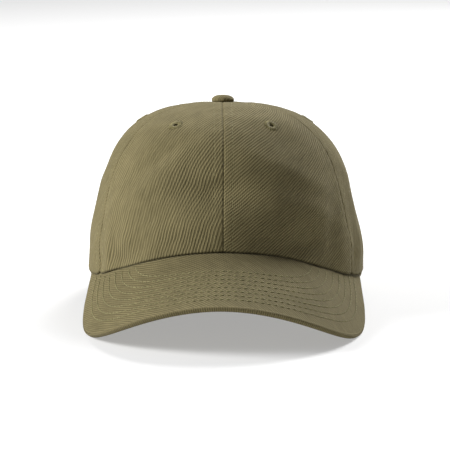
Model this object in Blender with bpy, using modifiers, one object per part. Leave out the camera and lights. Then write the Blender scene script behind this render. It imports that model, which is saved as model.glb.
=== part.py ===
"""A soft six-panel dad hat, resting on the back of its edge and the tips of its peak.

Lengths are in metres. Every piece is shaped as the hat is worn: the opening at z = 0, the
peak towards -Y and the wearer's left at +X. An empty then pitches the whole hat back until
it rests on z = 0. Azimuths go round the crown from the front, towards +X.
"""

import math
from collections import namedtuple
from functools import lru_cache

import bmesh
import bpy
import numpy as np
from mathutils import Matrix, Vector

# Crown
CROWN_HALF_WIDTH = 0.087
CROWN_HALF_LENGTH = 0.098
CROWN_HEIGHT = 0.113
CROWN_WAIST = 0.0025
CROWN_SWAY = -0.0021
CLOTH = 0.0012
PLAN_FULLNESS = 2.1
APEX_HOLE_RADIUS = 0.0026
SEAM_DIP = 0.0008
SEAM_HALF_WIDTH = 0.0022
GORE_SPAN = math.radians(60)
GORES = {"front_right": -60, "front_left": 0, "side_left": 60, "back_left": 120,
         "back_right": 180, "side_right": 240}

# Clearance between pieces that touch
GAP = 0.0003
LAYER_GAP = 0.0005
PEAK_SEAM_GAP = 0.0006

# Rear arch over the strap
ARCH_HALF_WIDTH = 0.041
ARCH_HEIGHT = 0.045

# Peak: a sheet rolled round an axis that slopes down to the front
PEAK_ROLL_RADIUS = 0.102
PEAK_SLOPE = math.radians(20.5)
PEAK_SEAM_HEIGHT = 0.0256
PEAK_LENGTH = 0.0668
PEAK_HALF_GIRTH = 0.1017
PEAK_WIDEST = -0.0265
PEAK_FULLNESS = 2.63
PEAK_THICKNESS = 0.0030
PEAK_EDGE_ROUND = 0.0013
PEAK_ROOT_AZIMUTH = math.radians(77)
PEAK_END = 0.004
EDGE_BLEND_SPAN = math.radians(27)

# Button on top
BUTTON_RADIUS = 0.0071
BUTTON_HEIGHT = 0.0042
BUTTON_STEM_RADIUS = 0.0018
BUTTON_BACK_RADIUS = 0.0050
BUTTON_BACK_THICKNESS = 0.0008

# Eyelets, one in each panel
EYELET_RADIUS = 0.0043
EYELET_HOLE_RADIUS = 0.0016
EYELET_BARREL_RADIUS = 0.0026
EYELET_RIM = 0.0008
EYELET_DISTANCE = 0.112
EYELET_BACK_GAP = 0.0006

# Sweatband inside the edge
BAND_HEIGHT = 0.032
BAND_THICKNESS = 0.0014
BAND_RAISE = 0.0015
BAND_STEP_LENGTH = 0.012

# Strap and its slide buckle
STRAP_WIDTH = 0.020
STRAP_THICKNESS = 0.0015
STRAP_RAISE = 0.0042
STRAP_TUCK = 0.014
BUCKLE_AZIMUTH = math.radians(194)
BUCKLE_LENGTH = 0.014
BUCKLE_WALL = 0.0014
BUCKLE_BAR = 0.0032
BUCKLE_CLEARANCE = 0.0005

# Rest: how much of the lowest edges the floor flattens, and how the back edge sags to it
REST_FLAT = 0.0004
SAG_END_AZIMUTH = math.radians(104)
SAG_FULL_AZIMUTH = math.radians(136)

# Mesh stations
COLUMN_SHARES = (0, 0.025, 0.07, 0.16, 0.27, 0.385, 0.5, 0.615, 0.73, 0.84, 0.93, 0.975, 1)
BAND_ROWS = 4
UPPER_ROWS = 13
PEAK_COLUMNS = 36
PEAK_ROWS = 5
ROUND_STEPS = 20
SMALL_STEPS = 12

# How full the crown's outline is at each azimuth, in degrees: 2 is an ellipse
CrownSection = namedtuple("CrownSection", "azimuth fullness")
CROWN_SECTIONS = (
    CrownSection(0, 2.68),
    CrownSection(50, 2.76),
    CrownSection(90, 2.80),
    CrownSection(130, 2.70),
    CrownSection(180, 2.50),
)

# Dents and ridges of the soft cloth. The azimuth and lean are in degrees, the distance is a
# share of the way up the cloth, and the other lengths are shares of the crown's height.
Fold = namedtuple("Fold", "azimuth distance lean length width rise")
FOLDS = (
    Fold(-27, 0.40, 43, 0.29, 0.080, 0.015),
    Fold(-30, 0.50, 30, 0.15, 0.090, -0.012),
    Fold(0, 0.37, 0, 0.19, 0.080, -0.020),
    Fold(-2, 0.27, 0, 0.17, 0.060, 0.010),
    Fold(28, 0.44, -25, 0.27, 0.070, 0.014),
    Fold(34, 0.56, -20, 0.20, 0.080, -0.010),
    Fold(31, 0.19, 8, 0.25, 0.095, -0.026),
    Fold(79, 0.16, 86, 0.18, 0.070, 0.011),
    Fold(-47, 0.14, 78, 0.11, 0.060, -0.008),
    Fold(-90, 0.20, 5, 0.22, 0.100, 0.010),
    Fold(-88, 0.38, 20, 0.24, 0.070, 0.005),
    Fold(104, 0.36, 28, 0.24, 0.090, -0.020),
    Fold(-118, 0.33, -22, 0.26, 0.080, -0.018),
    Fold(150, 0.50, -30, 0.26, 0.080, -0.016),
    Fold(-152, 0.46, 18, 0.28, 0.090, 0.012),
    Fold(-165, 0.58, -12, 0.24, 0.070, -0.012),
)
FOLD_FADE = 0.14


def smooth(share):
    """Ease from 0 to 1."""
    share = min(max(share, 0.0), 1.0)
    return share * share * (3 - 2 * share)


def wrapped(angle):
    """The angle between -pi and pi."""
    return (angle + math.pi) % (2 * math.pi) - math.pi


def signed_power(value, power):
    return math.copysign(abs(value) ** power, value)


@lru_cache(maxsize=None)
def crown_fullness(azimuth):
    """The fullness at this azimuth, eased between the rows of the table."""
    degrees = abs(math.degrees(wrapped(azimuth)))
    for low, high in zip(CROWN_SECTIONS, CROWN_SECTIONS[1:]):
        if degrees <= high.azimuth:
            share = smooth((degrees - low.azimuth) / (high.azimuth - low.azimuth))
            return low.fullness + share * (high.fullness - low.fullness)
    return CROWN_SECTIONS[-1].fullness


def plan_reach(azimuth):
    """From the crown's axis to its widest outline."""
    across = abs(math.sin(azimuth)) / CROWN_HALF_WIDTH
    along = abs(math.cos(azimuth)) / CROWN_HALF_LENGTH
    return (across**PLAN_FULLNESS + along**PLAN_FULLNESS) ** (-1 / PLAN_FULLNESS)


@lru_cache(maxsize=None)
def meridian(azimuth):
    """Distances up the cloth from the opening, with the reach and the height at each."""
    turns = np.linspace(-0.03, math.pi / 2, 240)
    power = 2 / crown_fullness(azimuth)
    reach = plan_reach(azimuth) * np.abs(np.cos(turns)) ** power
    height = CROWN_HEIGHT * np.sign(np.sin(turns)) * np.abs(np.sin(turns)) ** power
    level = np.clip(height / CROWN_HEIGHT, 0, 1)
    reach = reach - CROWN_WAIST * np.sin(math.pi * level) * (reach / plan_reach(azimuth))
    steps = np.hypot(np.diff(reach), np.diff(height))
    distance = np.concatenate(([0.0], np.cumsum(steps)))
    return distance - np.interp(0.0, height, distance), reach, height


def distance_at_height(azimuth, height):
    distances, _, heights = meridian(azimuth)
    return float(np.interp(height, heights, distances))


def distance_at_reach(azimuth, reach):
    distances, reaches, _ = meridian(azimuth)
    return float(np.interp(-reach, -reaches[1:], distances[1:]))


def crown_normal(point, fullness):
    """Outward from the smooth crown at this point of it."""
    across = abs(point.x) / CROWN_HALF_WIDTH
    along = abs(point.y) / CROWN_HALF_LENGTH
    plan = (across**PLAN_FULLNESS + along**PLAN_FULLNESS) ** (1 / PLAN_FULLNESS)
    plan = max(plan, 1e-6)
    slope = plan ** (fullness - PLAN_FULLNESS)
    power = PLAN_FULLNESS - 1
    return Vector((
        slope * signed_power(point.x / CROWN_HALF_WIDTH, power) / CROWN_HALF_WIDTH,
        slope * signed_power(point.y / CROWN_HALF_LENGTH, power) / CROWN_HALF_LENGTH,
        signed_power(point.z / CROWN_HEIGHT, fullness - 1) / CROWN_HEIGHT,
    )).normalized()


def fold_relief(azimuth, share, reach, full_distance):
    """How far the folds push the cloth out, at a share of the way up it."""
    total = 0.0
    for fold in FOLDS:
        around = wrapped(azimuth - math.radians(fold.azimuth)) * reach
        up = (share - fold.distance) * full_distance
        lean = math.radians(fold.lean)
        along = around * math.cos(lean) + up * math.sin(lean)
        across = up * math.cos(lean) - around * math.sin(lean)
        along /= fold.length * CROWN_HEIGHT
        across /= fold.width * CROWN_HEIGHT
        total += fold.rise * CROWN_HEIGHT * math.exp(-along * along - across * across)
    return total * smooth(share / FOLD_FADE) * smooth((1 - share) / FOLD_FADE)


def seam_relief(azimuth, reach):
    """The valley along the nearest seam."""
    turns = azimuth / GORE_SPAN
    away = abs(turns - round(turns)) * GORE_SPAN * reach
    return -SEAM_DIP * math.exp(-((away / SEAM_HALF_WIDTH) ** 2))


def crown_point(azimuth, distance, depth=0.0):
    """A point on the folded crown, or at a depth inside it."""
    distances, reaches, heights = meridian(azimuth)
    reach = float(np.interp(distance, distances, reaches))
    height = float(np.interp(distance, distances, heights))
    smooth_point = Vector((reach * math.sin(azimuth), -reach * math.cos(azimuth), height))
    full_distance = float(distances[-1])
    share = distance / full_distance
    relief = fold_relief(azimuth, share, reach, full_distance)
    relief += seam_relief(azimuth, reach)
    normal = crown_normal(smooth_point, crown_fullness(azimuth))
    sway = Vector((CROWN_SWAY * smooth(1 - reach / plan_reach(azimuth)), 0, 0))
    return smooth_point + sway + normal * (relief - depth)


def peak_point(girth, along, lift=0.0):
    """A point of the rolled peak: girth round the roll, along its sloping axis."""
    turn = girth / PEAK_ROLL_RADIUS
    radius = PEAK_ROLL_RADIUS + lift
    forward = Vector((0, -math.cos(PEAK_SLOPE), -math.sin(PEAK_SLOPE)))
    upward = Vector((0, -math.sin(PEAK_SLOPE), math.cos(PEAK_SLOPE)))
    root = Vector((0, -CROWN_HALF_LENGTH, PEAK_SEAM_HEIGHT))
    centre = root - upward * PEAK_ROLL_RADIUS
    side = Vector((radius * math.sin(turn), 0, 0))
    return centre + forward * along + side + upward * (radius * math.cos(turn))


def peak_pattern_place(x, y):
    """The girth and the distance along at which the peak's top lies over this plan point."""
    girth = PEAK_ROLL_RADIUS * math.asin(max(-1.0, min(1.0, x / PEAK_ROLL_RADIUS)))
    crest = peak_point(girth, 0)
    return girth, (crest.y - y) / math.cos(PEAK_SLOPE)


@lru_cache(maxsize=None)
def seam_height_on_peak(azimuth):
    """Where the crown's wall, down to its inner face, clears the top of the peak."""
    height = 0.0
    for _ in range(4):
        point = crown_point(azimuth, distance_at_height(azimuth, height), CLOTH)
        height = peak_point(*peak_pattern_place(point.x, point.y)).z + PEAK_SEAM_GAP
    return height


@lru_cache(maxsize=None)
def arch_corner():
    """The lowest point of the crown beside the rear arch."""
    azimuth = math.pi / 2 + math.acos(ARCH_HALF_WIDTH / CROWN_HALF_WIDTH)
    for _ in range(8):
        azimuth = math.pi - math.asin(ARCH_HALF_WIDTH / plan_reach(azimuth))
    return azimuth, crown_point(azimuth, 0.0)


def peak_outline(share):
    """The peak's outer edge as girth and distance along: share -1 right, 0 front, 1 left."""
    root_girth, root_along = peak_root(math.copysign(1.0, share))
    side_share = 0.82
    if abs(share) <= side_share:
        turn = share / side_share * math.pi / 2
        girth = PEAK_HALF_GIRTH * signed_power(math.sin(turn), 2 / PEAK_FULLNESS)
        reach = (PEAK_LENGTH - PEAK_WIDEST) * abs(math.cos(turn)) ** (2 / PEAK_FULLNESS)
        return girth, PEAK_WIDEST + reach
    back = (abs(share) - side_share) / (1 - side_share)
    girth = math.copysign(PEAK_HALF_GIRTH, share)
    girth += (root_girth - girth) * back
    return girth, PEAK_WIDEST + (root_along + PEAK_END - PEAK_WIDEST) * back


@lru_cache(maxsize=None)
def peak_root(share):
    """The peak's inner edge, flush with the inside of the crown's wall."""
    azimuth = share * PEAK_ROOT_AZIMUTH
    height = seam_height_on_peak(azimuth)
    point = crown_point(azimuth, distance_at_height(azimuth, height), CLOTH)
    return peak_pattern_place(point.x, point.y)


@lru_cache(maxsize=None)
def rest_slope():
    """How steeply the floor falls towards the front, as the worn hat sees it."""
    _, corner = arch_corner()
    steepest = 0.0
    for step in range(101):
        low = peak_point(*peak_outline(step / 100), -PEAK_THICKNESS / 2)
        steepest = max(steepest, (corner.z - low.z) / (corner.y - low.y))
    return steepest


@lru_cache(maxsize=None)
def edge_height(azimuth):
    """The crown's lower edge: over the peak in front, sagging to the floor behind."""
    azimuth = wrapped(azimuth)
    past_peak = (abs(azimuth) - PEAK_ROOT_AZIMUTH) / EDGE_BLEND_SPAN
    if past_peak < 1:
        return seam_height_on_peak(azimuth) * (1 - smooth(past_peak))
    azimuth = abs(azimuth)
    corner_azimuth, corner = arch_corner()
    sag_span = SAG_FULL_AZIMUTH - SAG_END_AZIMUTH
    sag = smooth((azimuth - SAG_END_AZIMUTH) / sag_span)
    point = crown_point(min(azimuth, corner_azimuth), 0.0)
    return -rest_slope() * (corner.y - point.y) * sag


def edge_distance(azimuth):
    return distance_at_height(azimuth, edge_height(azimuth))


def row_distances(azimuth):
    """The stations up the cloth: finer rows over the sweatband, then on to the apex."""
    edge = edge_distance(azimuth)
    top = distance_at_reach(azimuth, APEX_HOLE_RADIUS)
    band_top = edge + BAND_RAISE + BAND_HEIGHT
    rows = [edge]
    rows += band_row_distances(azimuth)[1:-1]
    rows += list(np.linspace(band_top, top, UPPER_ROWS + 1))
    return rows


def band_row_distances(azimuth):
    edge = edge_distance(azimuth) + BAND_RAISE
    return list(np.linspace(edge, edge + BAND_HEIGHT, BAND_ROWS + 1))


def new_object(name, mesh, collection, parent):
    obj = bpy.data.objects.new(name, mesh)
    obj.parent = parent
    collection.objects.link(obj)
    return obj


def finish_material(obj, colour, roughness, metallic=0.0):
    """Gives the piece its own plain finish, from an sRGB colour."""
    material = bpy.data.materials.new(obj.name + "_finish")
    material.use_nodes = True
    shader = material.node_tree.nodes["Principled BSDF"]
    linear = [((part / 255 + 0.055) / 1.055) ** 2.4 for part in colour]
    shader.inputs["Base Color"].default_value = (*linear, 1.0)
    shader.inputs["Roughness"].default_value = roughness
    shader.inputs["Metallic"].default_value = metallic
    obj.data.materials.append(material)


def lofted_mesh(name, columns):
    """A sheet through columns of points, with its faces towards the outside."""
    mesh = bmesh.new()
    verts = [[mesh.verts.new(point) for point in column] for column in columns]
    for left, right in zip(verts, verts[1:]):
        for row in range(len(left) - 1):
            mesh.faces.new((left[row], right[row], right[row + 1], left[row + 1]))
    data = bpy.data.meshes.new(name)
    mesh.to_mesh(data)
    mesh.free()
    return data


def shade_round(mesh, angle=35):
    mesh.shade_smooth()
    mesh.set_sharp_from_angle(angle=math.radians(angle))


def add_wall(obj, thickness):
    """Thickens the sheet inwards."""
    wall = obj.modifiers.new("wall", "SOLIDIFY")
    wall.thickness = thickness
    wall.offset = -1
    wall.use_even_offset = True


def cut(obj, cutter):
    hole = obj.modifiers.new("cut_" + cutter.name, "BOOLEAN")
    hole.operation = "DIFFERENCE"
    hole.solver = "EXACT"
    hole.object = cutter


def new_cutter(name, mesh, cutters, parent):
    cutter = new_object(name, mesh, cutters, parent)
    cutter.hide_render = True
    cutter.display_type = "WIRE"
    return cutter


def screw_object(name, profile, steps, closed, collection, parent):
    """A turned piece: its (radius, height) profile goes down the outer side."""
    mesh = bmesh.new()
    verts = [mesh.verts.new((radius, 0, height)) for radius, height in profile]
    for first, second in zip(verts, verts[1:]):
        mesh.edges.new((first, second))
    if closed:
        mesh.edges.new((verts[-1], verts[0]))
    data = bpy.data.meshes.new(name)
    mesh.to_mesh(data)
    mesh.free()
    obj = new_object(name, data, collection, parent)
    turn = obj.modifiers.new("turn", "SCREW")
    turn.steps = steps
    turn.render_steps = steps
    turn.use_merge_vertices = True
    turn.merge_threshold = 0.00001
    turn.use_smooth_shade = True
    return obj


def stand_on(obj, point, normal):
    """Places a turned piece at the point, with its axis along the normal."""
    obj.location = point
    obj.rotation_mode = "QUATERNION"
    obj.rotation_quaternion = Vector((0, 0, 1)).rotation_difference(normal)


def eyelet_place(azimuth):
    """The crown's surface and its outward direction where the eyelet sits."""
    middle = crown_point(azimuth, EYELET_DISTANCE)
    beside = crown_point(azimuth + 0.02, EYELET_DISTANCE)
    above = crown_point(azimuth, EYELET_DISTANCE + 0.002)
    return middle, (beside - middle).cross(above - middle).normalized()


def make_panel(name, start_degrees, parts, pose):
    """One gore of the crown, between two seams."""
    start = math.radians(start_degrees)
    columns = []
    for share in COLUMN_SHARES:
        column = []
        station = start + share * GORE_SPAN
        for distance in row_distances(station):
            reach = float(np.interp(distance, *meridian(station)[:2]))
            inset = GAP / 2 / reach
            azimuth = start + inset + share * (GORE_SPAN - 2 * inset)
            column.append(crown_point(azimuth, distance))
        columns.append(column)
    panel = new_object("panel_" + name, lofted_mesh(name, columns), parts, pose)
    shade_round(panel.data, 50)
    add_wall(panel, CLOTH)
    finish_material(panel, (139, 130, 97), 0.9)
    return panel


def make_eyelet(name, azimuth, panel, parts, cutters, pose):
    """An eyelet through the panel, with a rim on both faces."""
    middle, outward = eyelet_place(azimuth)
    top = GAP + EYELET_RIM
    under = -CLOTH - EYELET_BACK_GAP
    inner_rim = EYELET_RADIUS * 0.75
    profile = (
        (EYELET_HOLE_RADIUS, top * 0.8),
        (EYELET_HOLE_RADIUS + 0.35 * (EYELET_RADIUS - EYELET_HOLE_RADIUS), top),
        (EYELET_RADIUS, GAP + EYELET_RIM * 0.4),
        (EYELET_RADIUS, GAP),
        (EYELET_BARREL_RADIUS, GAP),
        (EYELET_BARREL_RADIUS, under),
        (inner_rim, under),
        (inner_rim, under - EYELET_RIM * 0.6),
        (EYELET_HOLE_RADIUS, under - EYELET_RIM * 0.6),
    )
    eyelet = screw_object("eyelet_" + name, profile, SMALL_STEPS, True, parts, pose)
    stand_on(eyelet, middle, outward)
    finish_material(eyelet, (128, 124, 90), 0.85)
    mesh = bmesh.new()
    bmesh.ops.create_cone(
        mesh, cap_ends=True, segments=SMALL_STEPS, depth=6 * CLOTH,
        radius1=EYELET_BARREL_RADIUS + GAP, radius2=EYELET_BARREL_RADIUS + GAP,
    )
    data = bpy.data.meshes.new("eyelet_cutter")
    mesh.to_mesh(data)
    mesh.free()
    cutter = new_cutter("eyelet_cutter_" + name, data, cutters, pose)
    stand_on(cutter, middle, outward)
    cut(panel, cutter)


def make_arch_cutter(cutters, pose):
    """The outline of the rear arch, drawn through the back of the crown."""
    below = -CROWN_HEIGHT / 2
    outline = [(-ARCH_HALF_WIDTH, below)]
    for step in range(25):
        turn = math.pi * step / 24
        across = -ARCH_HALF_WIDTH * math.cos(turn)
        outline.append((across, ARCH_HEIGHT * signed_power(math.sin(turn), 0.8)))
    outline.append((ARCH_HALF_WIDTH, below))
    mesh = bmesh.new()
    near = CROWN_HALF_LENGTH * 0.4
    face = mesh.faces.new([mesh.verts.new((x, near, z)) for x, z in outline])
    moved = bmesh.ops.extrude_face_region(mesh, geom=[face])["geom"]
    far = [item for item in moved if isinstance(item, bmesh.types.BMVert)]
    bmesh.ops.translate(mesh, verts=far, vec=(0, CROWN_HALF_LENGTH, 0))
    bmesh.ops.recalc_face_normals(mesh, faces=mesh.faces)
    data = bpy.data.meshes.new("arch_cutter")
    mesh.to_mesh(data)
    mesh.free()
    return new_cutter("arch_cutter", data, cutters, pose)


def make_floor_cutter(cutters):
    """Everything below the surface that the hat rests on."""
    size = 4 * (CROWN_HALF_LENGTH + PEAK_LENGTH)
    mesh = bmesh.new()
    bmesh.ops.create_cube(mesh, size=size)
    bmesh.ops.translate(mesh, verts=mesh.verts, vec=(0, 0, -size / 2))
    data = bpy.data.meshes.new("floor_cutter")
    mesh.to_mesh(data)
    mesh.free()
    return new_cutter("floor_cutter", data, cutters, None)


def make_peak(parts, pose):
    """The peak: a rolled plate with a rounded edge, tucked under the crown's seam."""
    columns = []
    for column in range(PEAK_COLUMNS + 1):
        share = 1 - 2 * column / PEAK_COLUMNS
        inner = Vector(peak_root(share))
        outer = Vector(peak_outline(share))
        row_shares = [row / PEAK_ROWS for row in range(PEAK_ROWS + 1)]
        columns.append([peak_point(*inner.lerp(outer, at)) for at in row_shares])
    peak = new_object("peak", lofted_mesh("peak", columns), parts, pose)
    shade_round(peak.data)
    add_wall(peak, PEAK_THICKNESS)
    rounding = peak.modifiers.new("round_edge", "BEVEL")
    rounding.width = PEAK_EDGE_ROUND
    rounding.segments = 2
    rounding.limit_method = "ANGLE"
    rounding.angle_limit = math.radians(50)
    finish_material(peak, (140, 130, 98), 0.9)
    return peak


def make_button(parts, pose):
    """The covered button, its stem through the apex and the plate that backs it."""
    seat = CROWN_HEIGHT + GAP
    dome = []
    for step in range(6):
        turn = math.pi / 2 * step / 5
        dome.append((BUTTON_RADIUS * math.sin(turn) ** 0.8,
                     seat + BUTTON_HEIGHT * (0.2 + 0.8 * math.cos(turn))))
    under = CROWN_HEIGHT - SEAM_DIP - CLOTH - 2 * GAP
    profile = dome + [
        (BUTTON_RADIUS * 0.93, seat),
        (BUTTON_STEM_RADIUS, seat),
        (BUTTON_STEM_RADIUS, under),
        (BUTTON_BACK_RADIUS, under),
        (BUTTON_BACK_RADIUS, under - BUTTON_BACK_THICKNESS),
        (0, under - BUTTON_BACK_THICKNESS),
    ]
    button = screw_object("top_button", profile, ROUND_STEPS, False, parts, pose)
    button.location.x = CROWN_SWAY
    finish_material(button, (124, 115, 86), 0.9)
    return button


def band_depth(azimuth):
    """The sweatband lies on the wall, and steps in to pass over the strap's tucked ends."""
    corner_azimuth, _ = arch_corner()
    to_corner = (corner_azimuth - abs(wrapped(azimuth))) * plan_reach(azimuth)
    step = smooth((STRAP_TUCK + BAND_STEP_LENGTH - to_corner) / BAND_STEP_LENGTH)
    return CLOTH + LAYER_GAP + step * (STRAP_THICKNESS + LAYER_GAP)


def back_azimuths(first, last):
    """The stations of the panels' columns that lie between two azimuths."""
    stations = {first, last}
    margin = math.radians(0.6)
    for gore in range(-4, 7):
        for share in COLUMN_SHARES:
            station = (gore + share) * GORE_SPAN
            if first + margin < station < last - margin:
                stations.add(round(station, 6))
    return sorted(stations)


def make_sweatband(parts, pose):
    """The band inside the crown's edge, open at the rear arch."""
    end, _ = arch_corner()
    columns = []
    for azimuth in back_azimuths(-end, end):
        depth = band_depth(azimuth)
        distances = band_row_distances(azimuth)
        columns.append([crown_point(azimuth, distance, depth) for distance in distances])
    band = new_object("sweatband", lofted_mesh("sweatband", columns), parts, pose)
    shade_round(band.data, 50)
    add_wall(band, BAND_THICKNESS)
    finish_material(band, (116, 108, 82), 0.9)
    return band


def strap_column(azimuth, depth):
    """The strap's lower, middle and upper line at this azimuth, at a depth inside the crown."""
    low = edge_distance(azimuth) + STRAP_RAISE
    distances = (low, low + STRAP_WIDTH / 2, low + STRAP_WIDTH)
    return [crown_point(azimuth, distance, depth) for distance in distances]


def buckle_ends():
    """The azimuths between which the strap runs straight, through the buckle."""
    half = (BUCKLE_LENGTH / 2 + STRAP_THICKNESS) / plan_reach(BUCKLE_AZIMUTH)
    return BUCKLE_AZIMUTH - half, BUCKLE_AZIMUTH + half


def make_strap(parts, pose):
    """The strap below the arch, its ends tucked between the panels and the sweatband."""
    corner, _ = arch_corner()
    tuck = STRAP_TUCK / plan_reach(corner)
    start = corner - tuck
    first, last = buckle_ends()
    stations = back_azimuths(start, 2 * math.pi - start)
    stations = [station for station in stations if not first < station < last]
    stations = sorted(stations + [first, last])
    columns = [strap_column(azimuth, CLOTH + LAYER_GAP) for azimuth in stations]
    strap = new_object("back_strap", lofted_mesh("back_strap", columns), parts, pose)
    shade_round(strap.data, 50)
    add_wall(strap, STRAP_THICKNESS)
    finish_material(strap, (136, 127, 95), 0.9)
    return strap


def rectangle_spline(curve, half_thickness, half_height):
    spline = curve.splines.new("POLY")
    spline.points.add(3)
    corners = ((-1, -1), (1, -1), (1, 1), (-1, 1))
    for point, (side, level) in zip(spline.points, corners):
        point.co = (side * half_thickness, level * half_height, 0, 1)
    spline.use_cyclic_u = True


def make_buckle(parts, cutters, pose):
    """A slide buckle: a flat sleeve round the strap with a window in its outer face."""
    depth = CLOTH + LAYER_GAP + STRAP_THICKNESS / 2
    near, far = [strap_column(azimuth, depth) for azimuth in buckle_ends()]
    centre = (near[0] + near[2] + far[0] + far[2]) / 4
    along = (far[0] + far[2] - near[0] - near[2]).normalized()
    outward = along.cross(near[2] + far[2] - near[0] - far[0]).normalized()
    upward = outward.cross(along)
    slot_half_thickness = STRAP_THICKNESS / 2 + BUCKLE_CLEARANCE
    slot_half_height = STRAP_WIDTH / 2 + BUCKLE_CLEARANCE
    curve = bpy.data.curves.new("strap_buckle", "CURVE")
    curve.dimensions = "2D"
    curve.fill_mode = "BOTH"
    curve.extrude = BUCKLE_LENGTH / 2
    outer = (slot_half_thickness + BUCKLE_WALL, slot_half_height + BUCKLE_WALL)
    rectangle_spline(curve, *outer)
    rectangle_spline(curve, slot_half_thickness, slot_half_height)
    sleeve = new_object("strap_buckle_outline", curve, parts, pose)
    graph = bpy.context.evaluated_depsgraph_get()
    data = bpy.data.meshes.new_from_object(sleeve.evaluated_get(graph))
    bpy.data.objects.remove(sleeve)
    mesh = bmesh.new()
    mesh.from_mesh(data)
    bmesh.ops.remove_doubles(mesh, verts=mesh.verts, dist=0.000001)
    mesh.to_mesh(data)
    mesh.free()
    buckle = new_object("strap_buckle", data, parts, pose)
    frame = Matrix((outward, upward, outward.cross(upward))).transposed()
    place = Matrix.Translation(centre) @ frame.to_4x4()
    buckle.matrix_local = place
    mesh = bmesh.new()
    window = (
        4 * BUCKLE_WALL,
        2 * (slot_half_height - BUCKLE_BAR / 2),
        BUCKLE_LENGTH - 2 * BUCKLE_BAR,
    )
    bmesh.ops.create_cube(mesh, size=1.0)
    bmesh.ops.scale(mesh, verts=mesh.verts, vec=window)
    offset = slot_half_thickness + 2 * BUCKLE_WALL
    bmesh.ops.translate(mesh, verts=mesh.verts, vec=(offset, 0, 0))
    window_mesh = bpy.data.meshes.new("buckle_window")
    mesh.to_mesh(window_mesh)
    mesh.free()
    cutter = new_cutter("buckle_window", window_mesh, cutters, pose)
    cutter.matrix_local = place
    cut(buckle, cutter)
    finish_material(buckle, (150, 138, 108), 0.35, 1.0)
    return buckle


def world_bounds(objects):
    """The lowest and highest corner of the finished pieces."""
    bpy.context.view_layer.update()
    graph = bpy.context.evaluated_depsgraph_get()
    points = []
    for obj in objects:
        evaluated = obj.evaluated_get(graph)
        points += [evaluated.matrix_world @ vert.co for vert in evaluated.data.vertices]
    low = Vector([min(point[axis] for point in points) for axis in range(3)])
    high = Vector([max(point[axis] for point in points) for axis in range(3)])
    return low, high


def pitch_back(pose):
    """Tips the worn hat back onto its edge and the tips of its peak."""
    pitch = -math.atan(rest_slope())
    pose.rotation_euler = (pitch, 0, 0)
    _, corner = arch_corner()
    floor = (Matrix.Rotation(pitch, 3, "X") @ corner).z
    pose.location = (0, 0, -floor - REST_FLAT)


def centre_plan(pose, parts):
    """Puts the origin under the middle of the hat."""
    low, high = world_bounds(parts.objects)
    middle = (low + high) / 2
    pose.location.x -= middle.x
    pose.location.y -= middle.y


def main():
    for obj in list(bpy.data.objects):
        bpy.data.objects.remove(obj)
    parts = bpy.data.collections.new("dad_hat")
    cutters = bpy.data.collections.new("dad_hat_cutters")
    bpy.context.scene.collection.children.link(parts)
    bpy.context.scene.collection.children.link(cutters)
    pose = bpy.data.objects.new("hat_pose", None)
    bpy.context.scene.collection.objects.link(pose)
    pitch_back(pose)
    arch_cutter = make_arch_cutter(cutters, pose)
    floor_cutter = make_floor_cutter(cutters)
    for name, start in GORES.items():
        panel = make_panel(name, start, parts, pose)
        middle = math.radians(start) + GORE_SPAN / 2
        make_eyelet(name, middle, panel, parts, cutters, pose)
        if name.startswith("back"):
            cut(panel, arch_cutter)
            cut(panel, floor_cutter)
    cut(make_peak(parts, pose), floor_cutter)
    make_button(parts, pose)
    make_sweatband(parts, pose)
    make_strap(parts, pose)
    make_buckle(parts, cutters, pose)
    centre_plan(pose, parts)


main()
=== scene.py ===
"""The looks of a soft cotton dad hat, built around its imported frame.

Lengths are in metres. The hat is shaped as it is worn, with the opening at z = 0, the peak
towards -Y and the wearer's left at +X, and is then pitched back onto the floor. Azimuths go
round the crown from the front, towards +X, and distances go up the cloth from the opening.
"""

import math
from collections import namedtuple
from contextlib import contextmanager
from functools import lru_cache

import bmesh
import bpy
import numpy as np
from bpy.props import FloatProperty, FloatVectorProperty, IntProperty, PointerProperty
from mathutils import Matrix, Vector, noise


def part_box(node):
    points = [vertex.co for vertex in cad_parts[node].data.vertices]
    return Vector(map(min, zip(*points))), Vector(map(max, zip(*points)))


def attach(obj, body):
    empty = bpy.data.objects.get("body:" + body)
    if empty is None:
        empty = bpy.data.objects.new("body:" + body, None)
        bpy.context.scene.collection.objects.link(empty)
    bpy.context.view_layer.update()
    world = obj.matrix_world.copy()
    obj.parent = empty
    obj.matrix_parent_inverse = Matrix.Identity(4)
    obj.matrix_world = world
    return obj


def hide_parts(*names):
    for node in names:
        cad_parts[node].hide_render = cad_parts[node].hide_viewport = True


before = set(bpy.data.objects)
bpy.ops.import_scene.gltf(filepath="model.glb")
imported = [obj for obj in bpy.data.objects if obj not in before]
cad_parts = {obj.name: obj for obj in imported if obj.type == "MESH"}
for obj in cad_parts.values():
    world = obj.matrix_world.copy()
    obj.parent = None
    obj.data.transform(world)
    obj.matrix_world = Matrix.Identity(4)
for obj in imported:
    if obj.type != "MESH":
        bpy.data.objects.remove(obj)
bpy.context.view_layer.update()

bl_info = {
    "name": "Dad Hat",
    "version": (1, 0, 0),
    "blender": (4, 5, 0),
    "location": "View3D > Sidebar > Dad Hat",
    "description": "Builds a soft six-panel cotton hat with its peak, stitching and strap",
    "category": "Object",
}

# Crown
CROWN_HALF_WIDTH = 0.087
CROWN_HALF_LENGTH = 0.098
CROWN_HEIGHT = 0.113
CROWN_WAIST = 0.0025
CROWN_SWAY = -0.0021
CLOTH = 0.0012
PLAN_FULLNESS = 2.1
APEX_HOLE_RADIUS = 0.0026
GORE_SPAN = math.radians(60)
GORES = {"front_right": -60, "front_left": 0, "side_left": 60, "back_left": 120,
         "back_right": 180, "side_right": 240}

# How far each gore's cloth is turned from its middle line, in degrees
GRAINS = {"front_right": 18, "front_left": -20, "side_left": 6, "back_left": -8,
          "back_right": 9, "side_right": -5}

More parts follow.
